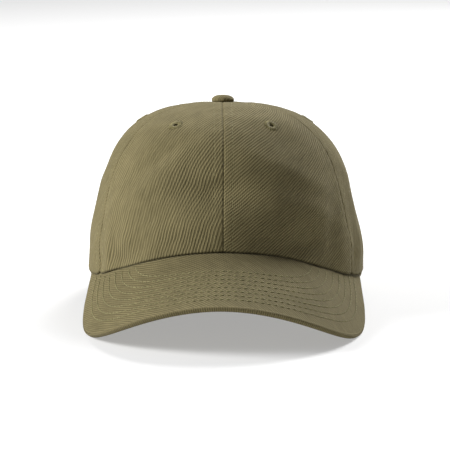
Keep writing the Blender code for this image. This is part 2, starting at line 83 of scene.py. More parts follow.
# The gore whose wales catch the light and so look bolder
GORE_CLOTHS = {"front_right": "cotton_twill_bold"}

# Dip of the plain crown at its seams, which the lining and the strap are set by
SEAM_VALLEY = 0.0008
SEAM_VALLEY_HALF_WIDTH = 0.0022
GORE_GAP = 0.00006

# Millimetres in a metre, as the cloth's own places are in millimetres
MM = 1000

# How finely the meshes are divided. Gores are finest within SEAM_BORDER of a seam.
SEAM_BORDER = 0.009
SEAM_COLUMNS = 22
GORE_COLUMNS = 56
GORE_ROWS = 140
TAPE_ROWS = 90
PEAK_COLUMNS = 300
PEAK_ROWS = 104
RIM_ROWS = 11
BAND_COLUMNS = 420
BAND_ROWS = 30
STRAP_COLUMNS = 150
STRAP_ROWS = 22

# Clearance between pieces that touch
GAP = 0.0003
LAYER_GAP = 0.0005
PEAK_SEAM_GAP = 0.0006

# Rear arch over the strap
ARCH_HALF_WIDTH = 0.041
ARCH_HEIGHT = 0.045
ARCH_FULLNESS = 2.5

# Peak: a sheet rolled round an axis that slopes down to the front
PEAK_ROLL_RADIUS = 0.102
PEAK_SLOPE = math.radians(20.5)
PEAK_SEAM_HEIGHT = 0.0256
PEAK_LENGTH = 0.0668
PEAK_HALF_GIRTH = 0.1017
PEAK_WIDEST = -0.0265
PEAK_FULLNESS = 2.63
PEAK_THICKNESS = 0.0030
PEAK_ROOT_AZIMUTH = math.radians(77)
PEAK_END = 0.004
PEAK_SIDE_SHARE = 0.82
PEAK_RIM_SHARE = 0.42
PEAK_RIM_POWER = 0.6
EDGE_BLEND_SPAN = math.radians(27)

# Button and eyelets
BUTTON_RADIUS = 0.0071
BUTTON_HEIGHT = 0.0042
BUTTON_STEM_RADIUS = 0.0018
BUTTON_BACK_RADIUS = 0.0050
BUTTON_BACK_THICKNESS = 0.0008
BUTTON_BACK_ROLL = 0.0004
BUTTON_GATHERS = 0.012
EYELET_RADIUS = 0.0043
EYELET_HOLE_RADIUS = 0.0016
EYELET_CUT_RADIUS = 0.0029
EYELET_DISTANCE = 0.112
EYELET_PAD_SINK = 0.0002
EYELET_BARREL_WALL = 0.0006
EYELET_BACK_DEPTHS = (0.0006, 0.0011)
EYELET_WRAP = {"width": 0.00056, "rise": 0.0009}
EYELET_WRAP_OVERHANG = 0.0003

# Sweatband, strap and buckle
BAND_HEIGHT = 0.032
BAND_THICKNESS = 0.0014
BAND_RAISE = 0.0015
BAND_STEP_LENGTH = 0.012
STRAP_WIDTH = 0.020
STRAP_THICKNESS = 0.0015
STRAP_RAISE = 0.0042
STRAP_TUCK = 0.014
BUCKLE_AZIMUTH = math.radians(194)
BUCKLE_LENGTH = 0.014
SLIDE_ROUNDING = 0.00035
SLIDE_CREASE = math.radians(40)

# Rest: how much of the lowest edges the floor flattens, and how the back edge sags to it
REST_FLAT = 0.0004
FLOOR_GAP = 0.00002
SAG_END_AZIMUTH = math.radians(104)
SAG_FULL_AZIMUTH = math.radians(136)

# Soft washed cloth: its slack as size and waves per metre, the gathers beside its seams, the
# swell that it makes over the peak's seam and the sweatband's own swell and ripple. A place
# is how far from the seam or up from the edge a rise is highest, and its half width.
SLACK = ((0.0011, 24), (0.00042, 62))
GATHER_RISE = 0.00035
GATHER_WAVES = 165
GATHER_PLACE = (0.004, 0.0050)
FRONT_SWELL = 0.0012
FRONT_SWELL_PLACE = (0.017, 0.010)
BAND_SWELL = 0.0003
BAND_RIPPLE = 0.00035

# Sewing
SEAM_DIP = 0.00040
SEAM_HALF_WIDTH = 0.00045
ALLOWANCE_RISE = 0.00008
TOPSTITCH = 0.0055
CHANNEL_DEPTH = 0.00011
CHANNEL_HALF_WIDTH = 0.0006
HEM_ROLL = 0.0010
CREASE_ROLL = 0.0012
EDGE_TUCK = 0.0007
HEM_STITCH = 0.0032
ARCH_STITCH = 0.0050
TAPE_HALF_WIDTH = 0.0065
TAPE_THICKNESS = 0.0005
BAND_STITCH = 0.0026
THREAD_SINK = 0.00018
THREAD_LIFT = 0.00014
STRAP_STITCH = 0.0021
CROWN_THREAD_WIDTH = 0.00040
THREAD_SEED = 7
SEAM_CROWDING = 0.02
SEAM_ROW_START = 0.0012
ARCH_ROW_START = 0.0015
BUTTON_CLEARANCE = 0.0012
INNER_THREAD_LIFT = 0.0001
STRAP_THREAD_SINK = 0.00015
STRAP_CHANNEL_DEPTH = 0.0002
STRAP_ROLL = 0.0008
PEAK_FIRST_ROW = 0.0100
PEAK_ROW_COUNT = 8
PEAK_ROW_CLEARANCE = 0.0058
PEAK_STITCH = {"width": 0.00060, "rise": 0.0007, "pitch": 0.0039, "length": 0.0027}
PEAK_CHANNEL_DEPTH = 0.00011
PEAK_CHANNEL_HALF_WIDTH = 0.00055
PEAK_SWELL_FADE = 0.004
PEAK_SWELL = 0.00008
PEAK_UNEVENNESS = 0.00010
EYELET_PAD_RISE = 0.00052

# Wear pales the cloth where it is rubbed. Below 0 the same attribute paints shade into the
# cloth: in the crease where the crown's front hem tucks into the peak's seam, at the peak's root
# under the crown's edge, and lightly over the whole peak. The place is how far from the seam the
# cloth is palest, and its half width.
SEAM_WEAR = 0.18
SEAM_WEAR_PLACE = (0.0018, 0.0010)
HEM_WEAR = 0.7
# Painted shadow in the crease where the crown's front hem tucks into the peak's seam
TUCKED_PAINTED_SHADE = -2.3
# Painted shade: keeps the whole peak, top and underside, a little darker than the crown's cloth
PEAK_PAINTED_SHADE = -0.28
RIM_WEAR = 0.8
# Painted shadow along the peak's root, under the crown's edge
ROOT_PAINTED_SHADE = -2.0
BUTTON_WEAR = 0.6
BAND_WEAR = 0.7
STRAP_WEAR = 0.8

# Stage: each light's place and power, and a camera that sees the hat as the photograph does.
# Its lens is 2433 pixels long for a picture 450 pixels wide.
LIGHTS = {"key": ((-1.55, -0.28, 0.86), 45.0), "top": ((0.64, 1.05, 1.20), 37.0),
          "edge": ((1.00, 1.40, 0.35), 5.0)}
LIGHT_SIZE = 0.8
LIGHT_TARGET = Vector((0, 0, 0.06))
WORLD_STRENGTH = 0.14
FLOOR_HALF_SIZE = 6.0
CAMERA_TARGET = Vector((0, 0, 0.05136))
CAMERA_DISTANCE = 1.5
CAMERA_ELEVATION = math.radians(11.3)
CAMERA_YAW = math.radians(0.9)
CAMERA_SENSOR = 36.0
CAMERA_LENS = 2433 / 450 * CAMERA_SENSOR

CrownSection = namedtuple("CrownSection", "azimuth fullness")
CROWN_SECTIONS = (
    CrownSection(0, 2.68),
    CrownSection(50, 2.76),
    CrownSection(90, 2.80),
    CrownSection(130, 2.70),
    CrownSection(180, 2.50),
)

# Dents and ridges. The azimuth and lean are in degrees, the distance is a share of the way up
# the cloth, and the other lengths are shares of the crown's height.
Fold = namedtuple("Fold", "azimuth distance lean length width rise")
FOLDS = (
    Fold(-27, 0.40, 43, 0.29, 0.080, 0.015),
    Fold(-30, 0.50, 30, 0.15, 0.090, -0.012),
    Fold(0, 0.37, 0, 0.19, 0.080, -0.020),
    Fold(-2, 0.27, 0, 0.17, 0.060, 0.010),
    Fold(28, 0.44, -25, 0.27, 0.070, 0.014),
    Fold(34, 0.56, -20, 0.20, 0.080, -0.010),
    Fold(31, 0.19, 8, 0.25, 0.095, -0.026),
    Fold(79, 0.16, 86, 0.18, 0.070, 0.011),
    Fold(-47, 0.14, 78, 0.11, 0.060, -0.008),
    Fold(-90, 0.20, 5, 0.22, 0.100, 0.010),
    Fold(-88, 0.38, 20, 0.24, 0.070, 0.005),
    Fold(104, 0.36, 28, 0.24, 0.090, -0.020),
    Fold(-118, 0.33, -22, 0.26, 0.080, -0.018),
    Fold(150, 0.50, -30, 0.26, 0.080, -0.016),
    Fold(-152, 0.46, 18, 0.28, 0.090, 0.012),
    Fold(-165, 0.58, -12, 0.24, 0.070, -0.012),
)
FOLD_FADE = 0.14
PUCKER_FADE = 0.05

# Small puckers that only the fine cloth shows
PUCKERS = (
    Fold(-52, 0.24, 80, 0.22, 0.070, 0.010),
    Fold(-36, 0.15, 60, 0.16, 0.080, -0.015),
    Fold(72, 0.30, 84, 0.24, 0.055, 0.010),
    Fold(-24, 0.47, 48, 0.24, 0.045, 0.006),
    Fold(-3, 0.38, 8, 0.15, 0.055, -0.015),
    Fold(3, 0.30, -6, 0.19, 0.040, 0.005),
    Fold(31, 0.31, -14, 0.23, 0.070, 0.0165),
    Fold(48, 0.22, 72, 0.22, 0.070, -0.016),
    Fold(34, 0.17, 5, 0.20, 0.060, -0.007),
    Fold(-58, 0.10, 82, 0.085, 0.030, -0.0100),
    Fold(-51, 0.12, 84, 0.095, 0.028, 0.0080),
    Fold(-43, 0.10, 76, 0.080, 0.032, -0.0080),
    Fold(-66, 0.15, 70, 0.090, 0.035, 0.0050),
    Fold(63, 0.13, 80, 0.110, 0.030, -0.0070),
    Fold(70, 0.16, 82, 0.120, 0.030, 0.0060),
    Fold(88, 0.12, 70, 0.110, 0.035, -0.0060),
    Fold(-80, 0.12, 75, 0.100, 0.035, -0.0060),
    Fold(112, 0.14, 65, 0.120, 0.040, 0.0060),
    Fold(-108, 0.13, -70, 0.120, 0.040, 0.0060),
)


def ease(share):
    """Ease from 0 to 1."""
    share = np.clip(share, 0.0, 1.0)
    return share * share * (3 - 2 * share)


def wrapped(angle):
    """The angle between -pi and pi."""
    return (angle + math.pi) % (2 * math.pi) - math.pi


def signed_power(value, power):
    return np.sign(value) * np.abs(value) ** power


def bell(away, half_width):
    return np.exp(-((away / half_width) ** 2))


def bell_at(away, place):
    """A bell round a place, which is given with its half width."""
    middle, half_width = place
    return bell(away - middle, half_width)


def paired(across, along):
    return np.stack(np.broadcast_arrays(across, along), -1)


def unit(vectors):
    return vectors / np.linalg.norm(vectors, axis=-1)[..., None]


def running(points):
    """How far along a line each of its points lies."""
    return np.concatenate(([0.0], np.cumsum(np.linalg.norm(np.diff(points, axis=0), axis=1))))


def evenly(line, count):
    """Points at even distances along a line, and those distances."""
    run = running(line)
    wanted = np.linspace(0, run[-1], count)
    return np.stack([np.interp(wanted, run, axis) for axis in line.T], -1), wanted


def rolled(away, roll):
    """How far a turned edge curves in, at this distance from it."""
    inside = np.clip(1 - away / roll, 0, 1)
    return roll * (1 - np.sqrt(1 - inside * inside))


def halved(low, high, steps, past):
    """Closes in on the place between low and high where `past` turns true."""
    for _ in range(steps):
        middle = (low + high) / 2
        beyond = past(middle)
        low, high = np.where(beyond, low, middle), np.where(beyond, middle, high)
    return (low + high) / 2


@lru_cache(maxsize=None)
def crown_fullness(azimuth):
    """The fullness at this azimuth, eased between the rows of the table."""
    degrees = abs(math.degrees(wrapped(azimuth)))
    for low, high in zip(CROWN_SECTIONS, CROWN_SECTIONS[1:]):
        if degrees <= high.azimuth:
            share = ease((degrees - low.azimuth) / (high.azimuth - low.azimuth))
            return low.fullness + float(share) * (high.fullness - low.fullness)
    return CROWN_SECTIONS[-1].fullness


def plan_reach(azimuth):
    """From the crown's axis to its widest outline."""
    across = np.abs(np.sin(azimuth)) / CROWN_HALF_WIDTH
    along = np.abs(np.cos(azimuth)) / CROWN_HALF_LENGTH
    return (across**PLAN_FULLNESS + along**PLAN_FULLNESS) ** (-1 / PLAN_FULLNESS)


@lru_cache(maxsize=None)
def meridian(azimuth):
    """Distances up the cloth from the opening, with the reach and the height at each."""
    turns = np.concatenate([np.linspace(-0.03, 0.1, 500), np.linspace(0.1, math.pi / 2, 500)[1:]])
    power = 2 / crown_fullness(azimuth)
    reach = plan_reach(azimuth) * np.abs(np.cos(turns)) ** power
    height = CROWN_HEIGHT * np.sign(np.sin(turns)) * np.abs(np.sin(turns)) ** power
    level = np.clip(height / CROWN_HEIGHT, 0, 1)
    reach = reach - CROWN_WAIST * np.sin(math.pi * level) * (reach / plan_reach(azimuth))
    steps = np.hypot(np.diff(reach), np.diff(height))
    distance = np.concatenate(([0.0], np.cumsum(steps)))
    return distance - np.interp(0.0, height, distance), reach, height


def distance_at_height(azimuth, height):
    distances, _, heights = meridian(azimuth)
    return float(np.interp(height, heights, distances))


def distance_at_reach(azimuth, reach):
    distances, reaches, _ = meridian(azimuth)
    return float(np.interp(-reach, -reaches[1:], distances[1:]))


def crown_normals(points, fullness):
    """Outward from the smooth crown at these points of it."""
    x, y, z = points[..., 0], points[..., 1], points[..., 2]
    plan = (np.abs(x / CROWN_HALF_WIDTH) ** PLAN_FULLNESS
            + np.abs(y / CROWN_HALF_LENGTH) ** PLAN_FULLNESS) ** (1 / PLAN_FULLNESS)
    slope = np.maximum(plan, 1e-6) ** (fullness - PLAN_FULLNESS)
    power = PLAN_FULLNESS - 1
    normals = np.stack([
        slope * signed_power(x / CROWN_HALF_WIDTH, power) / CROWN_HALF_WIDTH,
        slope * signed_power(y / CROWN_HALF_LENGTH, power) / CROWN_HALF_LENGTH,
        signed_power(z / CROWN_HEIGHT, fullness - 1) / CROWN_HEIGHT,
    ], -1)
    return unit(normals)


def fold_relief(folds, azimuth, share, reach, full_distance, fade):
    """How far the folds push the cloth out, at shares of the way up it."""
    total = np.zeros_like(share)
    for fold in folds:
        around = wrapped(azimuth - math.radians(fold.azimuth)) * reach
        up = (share - fold.distance) * full_distance
        lean = math.radians(fold.lean)
        along = around * math.cos(lean) + up * math.sin(lean)
        across = up * math.cos(lean) - around * math.sin(lean)
        swell = bell(along, fold.length * CROWN_HEIGHT) * bell(across, fold.width * CROWN_HEIGHT)
        total += fold.rise * CROWN_HEIGHT * swell
    return total * ease(share / fade) * ease((1 - share) / fade)


def seam_away(azimuth, reach):
    """How far it is round the crown to the nearest seam."""
    turns = np.asarray(azimuth) / GORE_SPAN
    return np.abs(turns - np.round(turns)) * GORE_SPAN * reach


def seam_valley(azimuth, reach):
    return SEAM_VALLEY * bell(seam_away(azimuth, reach), SEAM_VALLEY_HALF_WIDTH)


def tucked(azimuth):
    """1 where the crown's edge is tucked into the peak's seam, and 0 past its ends."""
    return ease((PEAK_ROOT_AZIMUTH + 0.22 - np.abs(wrapped(azimuth))) / 0.1)


def sewn_relief(azimuth, distances, reach):
    """The seams' valleys, allowances, stitched channels and puckers, and the rolled hem."""
    away = seam_away(azimuth, reach)
    crossing = np.minimum(1.0, reach / SEAM_CROWDING)
    allowance = ease(away / 0.0014) * ease((TOPSTITCH + 0.0018 - away) / 0.0022)
    relief = -SEAM_DIP * (1 - 0.6 * np.abs(np.sin(azimuth))) * bell(away, SEAM_HALF_WIDTH)
    relief += ALLOWANCE_RISE * allowance * crossing
    relief -= CHANNEL_DEPTH * bell(away - TOPSTITCH, CHANNEL_HALF_WIDTH) * crossing
    seam = np.round(azimuth / GORE_SPAN)
    side = np.sign(azimuth - seam * GORE_SPAN)
    gathers = noise_at(distances * GATHER_WAVES, seam * 7.3 + side, 0.0)
    relief += GATHER_RISE * gathers * bell_at(away, GATHER_PLACE) * crossing
    up = distances - edge_line(azimuth)
    front = ease((PEAK_ROOT_AZIMUTH + 0.1 - np.abs(wrapped(azimuth))) / 0.25)
    relief += FRONT_SWELL * bell_at(up, FRONT_SWELL_PLACE) * front
    up = up + EDGE_TUCK * tucked(azimuth)
    relief -= rolled(up, HEM_ROLL + (CREASE_ROLL - HEM_ROLL) * front)
    hemmed = ease((np.abs(wrapped(azimuth)) - PEAK_ROOT_AZIMUTH) / 0.05)
    return relief - CHANNEL_DEPTH * 0.8 * bell(up - HEM_STITCH, CHANNEL_HALF_WIDTH) * hemmed


def arch_away(points):
    """How far outside the rear arch's outline these points of the crown lie."""
    across, height = np.abs(points[..., 0]), np.maximum(points[..., 2], 0.0)

    def past(grow):
        return ((across / (ARCH_HALF_WIDTH + grow)) ** 2
                + (height / (ARCH_HEIGHT + grow)) ** ARCH_FULLNESS) <= 1
    return halved(np.full_like(across, -0.004), np.full_like(across, 0.12), 24, past)


def arch_hem_relief(points):
    """The rolled edge and the stitched channel round the rear arch."""
    away = arch_away(points)
    relief = ALLOWANCE_RISE * ease(away / 0.001) * ease((ARCH_STITCH + 0.001 - away) / 0.002)
    relief -= rolled(away, HEM_ROLL) + CHANNEL_DEPTH * bell(away - ARCH_STITCH, CHANNEL_HALF_WIDTH)
    return np.where(points[..., 1] > 0, relief, 0.0)


def noise_at(x, y, z):
    """Smooth noise at arrays of places."""
    x, y, z = np.broadcast_arrays(x, y, z)
    flat = [noise.noise(Vector(place)) for place in zip(x.ravel(), y.ravel(), z.ravel())]
    return np.array(flat).reshape(x.shape)


def slack_relief(azimuth, distances, reach):
    """The gentle unevenness of soft washed cloth."""
    x, y = np.sin(azimuth) * reach, np.cos(azimuth) * reach
    return sum(size * noise_at(x * waves, y * waves, distances * waves) for size, waves in SLACK)


@lru_cache(maxsize=None)
def crown_table():
    """Reach and height on an even net of azimuths and distances, and each full distance."""
    azimuths = np.linspace(-math.pi, math.pi, 721)
    distances = np.linspace(-0.006, 0.19, 1569)
    reach, height, full = [], [], []
    for azimuth in azimuths:
        table, reaches, heights = meridian(float(azimuth))
        reach.append(np.interp(distances, table, reaches))
        height.append(np.interp(distances, table, heights))
        full.append(table[-1])
    return azimuths, distances, np.array(reach), np.array(height), np.array(full)


def reach_and_height(azimuth, distance):
    """The smooth crown's reach and height at arrays of azimuths and distances."""
    azimuths, distances, reach, height, _ = crown_table()
    column = (wrapped(azimuth) - azimuths[0]) / (azimuths[1] - azimuths[0])
    row = (np.asarray(distance) - distances[0]) / (distances[1] - distances[0])
    left = np.clip(np.floor(column).astype(int), 0, len(azimuths) - 2)
    low = np.clip(np.floor(row).astype(int), 0, len(distances) - 2)
    across, up = column - left, row - low
    found = []
    for values in (reach, height):
        below = values[left, low] * (1 - across) + values[left + 1, low] * across
        above = values[left, low + 1] * (1 - across) + values[left + 1, low + 1] * across
        found.append(below * (1 - up) + above * up)
    return found


def crown_points(azimuth, distances, depth=0.0, fine=False, own=False, lining=False):
    """Points on the folded crown at arrays of places, or at a depth inside it. The lining
    follows the small puckers, and the fine cloth shows its slack and its sewing too."""
    azimuth, distances = np.broadcast_arrays(np.asarray(azimuth, float),
                                             np.asarray(distances, float))
    if own:
        table, reaches, heights = meridian(float(azimuth.flat[0]))
        reach, height = np.interp(distances, table, reaches), np.interp(distances, table, heights)
        full_distance = np.full(azimuth.shape, table[-1])
    else:
        reach, height = reach_and_height(azimuth, distances)
        azimuths, _, _, _, full = crown_table()
        full_distance = np.interp(wrapped(azimuth), azimuths, full)
    points = np.stack([reach * np.sin(azimuth), -reach * np.cos(azimuth), height], -1)
    share = distances / full_distance
    relief = fold_relief(FOLDS, azimuth, share, reach, full_distance, FOLD_FADE)
    if fine or lining:
        relief = relief + fold_relief(PUCKERS, azimuth, share, reach, full_distance,
                                      PUCKER_FADE)
    if fine:
        fade = ease(share / 0.08) * ease((1 - share) / 0.10)
        relief = relief + slack_relief(azimuth, distances, reach) * fade
        relief = relief + sewn_relief(azimuth, distances, reach)
        if np.any(np.abs(wrapped(azimuth)) > SAG_FULL_AZIMUTH):
            relief = relief + arch_hem_relief(points)
    else:
        relief = relief - seam_valley(azimuth, reach)
    fullness = np.interp(np.abs(wrapped(azimuth)), *fullness_line())
    points = points + crown_normals(points, fullness) * (relief - depth)[..., None]
    points[..., 0] += CROWN_SWAY * ease(1 - reach / plan_reach(azimuth))
    return points


@lru_cache(maxsize=None)
def fullness_line():
    azimuths = np.linspace(0, math.pi, 361)
    return azimuths, np.array([crown_fullness(float(azimuth)) for azimuth in azimuths])


@lru_cache(maxsize=None)
def edge_table():
    azimuths = np.linspace(-math.pi, math.pi, 721)
    return azimuths, np.array([edge_distance(float(azimuth)) for azimuth in azimuths])


def edge_line(azimuth):
    """How far up the cloth the crown's edge lies, at an array of azimuths."""
    return np.interp(wrapped(azimuth), *edge_table())


def smooth_normals(azimuth, distances):
    """Outward from the folded crown at arrays of places, for the hat at rest."""
    step = 0.0015
    reach, _ = reach_and_height(azimuth, distances)
    middle = crown_points(azimuth, distances)
    beside = crown_points(azimuth + step / reach, distances) - middle
    above = crown_points(azimuth, distances + step) - middle
    return turned_to_rest(unit(np.cross(beside, above)))


def peak_points(girth, along, lift=0.0):
    """Points of the rolled peak: girth round the roll, along its sloping axis."""
    girth, along, lift = np.broadcast_arrays(girth, along, lift)
    turn = girth / PEAK_ROLL_RADIUS
    radius = PEAK_ROLL_RADIUS + lift
    forward = np.array([0, -math.cos(PEAK_SLOPE), -math.sin(PEAK_SLOPE)])
    upward = np.array([0, -math.sin(PEAK_SLOPE), math.cos(PEAK_SLOPE)])
    centre = np.array([0, -CROWN_HALF_LENGTH, PEAK_SEAM_HEIGHT]) - upward * PEAK_ROLL_RADIUS
    points = centre + along[..., None] * forward + (radius * np.cos(turn))[..., None] * upward
    points[..., 0] += radius * np.sin(turn)
    return points


def peak_pattern_place(x, y):
    """The girth and the distance along at which the peak's top lies over this plan point."""
    girth = PEAK_ROLL_RADIUS * math.asin(max(-1.0, min(1.0, x / PEAK_ROLL_RADIUS)))
    crest = peak_points(girth, 0.0)
    return girth, float((crest[1] - y) / math.cos(PEAK_SLOPE))


@lru_cache(maxsize=None)
def seam_height_on_peak(azimuth):
    """Where the crown's wall, down to its inner face, clears the top of the peak."""
    height = 0.0
    for _ in range(4):
        point = crown_points(azimuth, distance_at_height(azimuth, height), CLOTH, own=True)
        height = float(peak_points(*peak_pattern_place(point[0], point[1]))[2]) + PEAK_SEAM_GAP
    return height


@lru_cache(maxsize=None)
def arch_corner():
    """The lowest point of the crown beside the rear arch."""
    azimuth = math.pi / 2 + math.acos(ARCH_HALF_WIDTH / CROWN_HALF_WIDTH)
    for _ in range(8):
        azimuth = math.pi - math.asin(ARCH_HALF_WIDTH / plan_reach(azimuth))
    return azimuth, crown_points(azimuth, 0.0, own=True)


@lru_cache(maxsize=None)
def peak_root(share):
    """The peak's inner edge, flush with the inside of the crown's wall."""
    azimuth = share * PEAK_ROOT_AZIMUTH
    height = seam_height_on_peak(azimuth)
    point = crown_points(azimuth, distance_at_height(azimuth, height), CLOTH, own=True)
    return peak_pattern_place(point[0], point[1])


def peak_outline(share, inset=0.0):
    """The peak's outer edge as girth and distance along: share -1 right, 0 front, 1 left."""
    half_girth = PEAK_HALF_GIRTH - inset
    if abs(share) <= PEAK_SIDE_SHARE:
        turn = share / PEAK_SIDE_SHARE * math.pi / 2
        girth = half_girth * signed_power(math.sin(turn), 2 / PEAK_FULLNESS)
        reach = PEAK_LENGTH - PEAK_WIDEST - inset
        return float(girth), PEAK_WIDEST + reach * abs(math.cos(turn)) ** (2 / PEAK_FULLNESS)
    root_girth, root_along = peak_root(math.copysign(1.0, share))
    back = (abs(share) - PEAK_SIDE_SHARE) / (1 - PEAK_SIDE_SHARE)
    girth = math.copysign(half_girth, share)
    girth += (root_girth - math.copysign(PEAK_HALF_GIRTH, share)) * back
    return girth, PEAK_WIDEST + (root_along + PEAK_END - PEAK_WIDEST) * back


@lru_cache(maxsize=None)
def rest_slope():
    """How steeply the floor falls towards the front, as the worn hat sees it."""
    _, corner = arch_corner()
    steepest = 0.0
    for step in range(101):
        low = peak_points(*peak_outline(step / 100), -PEAK_THICKNESS / 2)
        steepest = max(steepest, (corner[2] - low[2]) / (corner[1] - low[1]))
    return float(steepest)


@lru_cache(maxsize=None)
def edge_height(azimuth):
    """The crown's lower edge: over the peak in front, sagging to the floor behind."""
    azimuth = wrapped(azimuth)
    past_peak = (abs(azimuth) - PEAK_ROOT_AZIMUTH) / EDGE_BLEND_SPAN
    if past_peak < 1:
        return seam_height_on_peak(azimuth) * (1 - float(ease(past_peak)))
    azimuth = abs(azimuth)
    corner_azimuth, corner = arch_corner()
    sag = float(ease((azimuth - SAG_END_AZIMUTH) / (SAG_FULL_AZIMUTH - SAG_END_AZIMUTH)))
    point = crown_points(min(azimuth, corner_azimuth), 0.0, own=True)
    return -rest_slope() * float(corner[1] - point[1]) * sag


@lru_cache(maxsize=None)
def edge_distance(azimuth):
    return distance_at_height(azimuth, edge_height(azimuth))


@lru_cache(maxsize=None)
def rest_place():
    """From the worn hat to the hat at rest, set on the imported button."""
    pitch = -math.atan(rest_slope())
    turn = Matrix.Rotation(pitch, 4, "X")
    _, corner = arch_corner()
    low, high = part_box("top_button")
    rim = Vector((CROWN_SWAY, 0, CROWN_HEIGHT + GAP + 0.2 * BUTTON_HEIGHT))
    middle = (low + high) / 2 - turn @ rim
    floor = (turn @ Vector(corner)).z
    return Matrix.Translation((middle.x, middle.y, -floor - REST_FLAT)) @ turn


def turned_to_rest(directions):
    return directions @ np.array(rest_place())[:3, :3].T


def at_rest(points):
    """Worn points moved to the hat at rest, flattened where they meet the floor."""
    moved = turned_to_rest(np.asarray(points, float)) + np.array(rest_place())[:3, 3]
    moved[..., 2] = np.maximum(moved[..., 2], FLOOR_GAP)
    return moved


def grid_mesh(name, grid, uvs, closed_rows=False, wear_and_shade=None):
    """A sheet through a grid of points (columns, rows, 3), with its UV in millimetres and how
    worn it is, with painted shade where that value goes below 0."""
    columns, rows = grid.shape[:2]
    index = np.arange(columns * rows).reshape(columns, rows)
    if closed_rows:
        index = np.concatenate([index, index[:, :1]], axis=1)
    quads = np.stack([index[:-1, :-1], index[1:, :-1], index[1:, 1:], index[:-1, 1:]], -1)
    quads = quads.reshape(-1, 4)
    mesh = bpy.data.meshes.new(name)
    mesh.from_pydata(grid.reshape(-1, 3).tolist(), [], quads.tolist())
    layer = mesh.uv_layers.new(name="cloth")
    loop_verts = np.zeros(len(mesh.loops), np.int32)
    mesh.loops.foreach_get("vertex_index", loop_verts)
    layer.data.foreach_set("uv", uvs.reshape(-1, 2)[loop_verts].astype(np.float32).ravel())
    if wear_and_shade is not None:
        layer = mesh.attributes.new("wear_and_shade", "FLOAT", "POINT")
        layer.data.foreach_set("value", np.asarray(wear_and_shade, np.float32).ravel())
    mesh.update()
    return mesh


def put_in_scene(name, mesh, materials):
    piece = bpy.data.objects.new(name, mesh)
    bpy.context.scene.collection.objects.link(piece)
    for material in materials:
        mesh.materials.append(material)
    mesh.shade_smooth()
    return piece


def settle(piece):
    """Turns the piece and its modifiers into one plain mesh."""
    bpy.context.view_layer.update()
    graph = bpy.context.evaluated_depsgraph_get()
    mesh = bpy.data.meshes.new_from_object(piece.evaluated_get(graph), depsgraph=graph)
    mesh.name = piece.name
    piece.modifiers.clear()
    old = piece.data
    piece.data = mesh
    bpy.data.meshes.remove(old)
    return piece


def add_wall(piece, thickness):
    """Thickens the sheet inwards."""
    wall = piece.modifiers.new("wall", "SOLIDIFY")
    wall.thickness = thickness
    wall.offset = -1
    wall.use_even_offset = True
    wall.use_quality_normals = True
    return settle(piece)


def hand_over(piece, slot, *nodes):
    """The piece rides on the hat and stands for its solids."""
    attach(piece, "root")
    if nodes:
        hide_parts(*nodes)
    return piece


def cloth_piece(name, mesh, finish, thickness, flat, slot, *nodes):
    """Makes a piece of cloth from a thin sheet, and hands it over; the flat size it is given is not
    used.
    """
    piece = put_in_scene(name, mesh, [material_of(finish)])
    add_wall(piece, thickness)
    hand_over(piece, slot, *nodes)


@contextmanager
def edited(mesh, target=None):
    """Opens a mesh for editing, and writes it back or to the target."""
    draft = bmesh.new()
    draft.from_mesh(mesh)
    draft.verts.ensure_lookup_table()
    yield draft
    draft.to_mesh(target or mesh)
    draft.free()


def linear(code):
    """An sRGB hex colour as linear light."""
    parts = [int(code[at:at + 2], 16) / 255 for at in (1, 3, 5)]
    return [part / 12.92 if part <= 0.04045 else ((part + 0.055) / 1.055) ** 2.4 for part in parts]


def add_node(tree, kind, given=None, outlet=0, **settings):
    """Adds one node, whose inputs are set to values or fed by outlets of other nodes."""
    node = tree.nodes.new(kind)
    for key, value in settings.items():
        setattr(node, key, value)
    for key, value in (given or {}).items():
        if isinstance(value, bpy.types.NodeSocket):
            tree.links.new(value, node.inputs[key])
        else:
            node.inputs[key].default_value = value
    return node.outputs[outlet] if node.outputs else None


def maths(tree, operation, *given):
    return add_node(tree, "ShaderNodeMath", dict(enumerate(given)), operation=operation)


def added(tree, source, share, base):
    """A share of the source on top of the base."""
    return maths(tree, "MULTIPLY_ADD", source, share, base)


def ranged(tree, source, low, high, start=0.0, end=1.0):
    """The source from low to high as a level from start to end."""
    return add_node(tree, "ShaderNodeMapRange", {0: source, 1: low, 2: high, 3: start, 4: end})


def mottle(tree, place, scale, detail=2.0, roughness=0.5, outlet=0, dimensions="2D"):
    given = {"Vector": place, "Scale": scale, "Detail": detail, "Roughness": roughness}
    return add_node(tree, "ShaderNodeTexNoise", given, outlet, noise_dimensions=dimensions)


def blank_material(name):
    material = bpy.data.materials.new(name)
    material.use_nodes = True
    material.node_tree.nodes.clear()
    return material, material.node_tree


def finish_shader(tree, colours, level, roughness, height, depth, values):
    """A surface that goes from one colour and roughness to the other with the level, and is
    bumped by the height."""
    light, dark = colours
    colour = add_node(tree, "ShaderNodeMix", {0: level, 6: (*dark, 1), 7: (*light, 1)}, 2,
                      data_type="RGBA")
    bump = add_node(tree, "ShaderNodeBump", {"Strength": 1.0, "Distance": depth, "Height": height})
    given = {"Base Color": colour, "Roughness": ranged(tree, level, 0.0, 1.0, *roughness),
             "Normal": bump}
    shader = add_node(tree, "ShaderNodeBsdfPrincipled", {**given, **values})
    add_node(tree, "ShaderNodeOutputMaterial", {"Surface": shader})


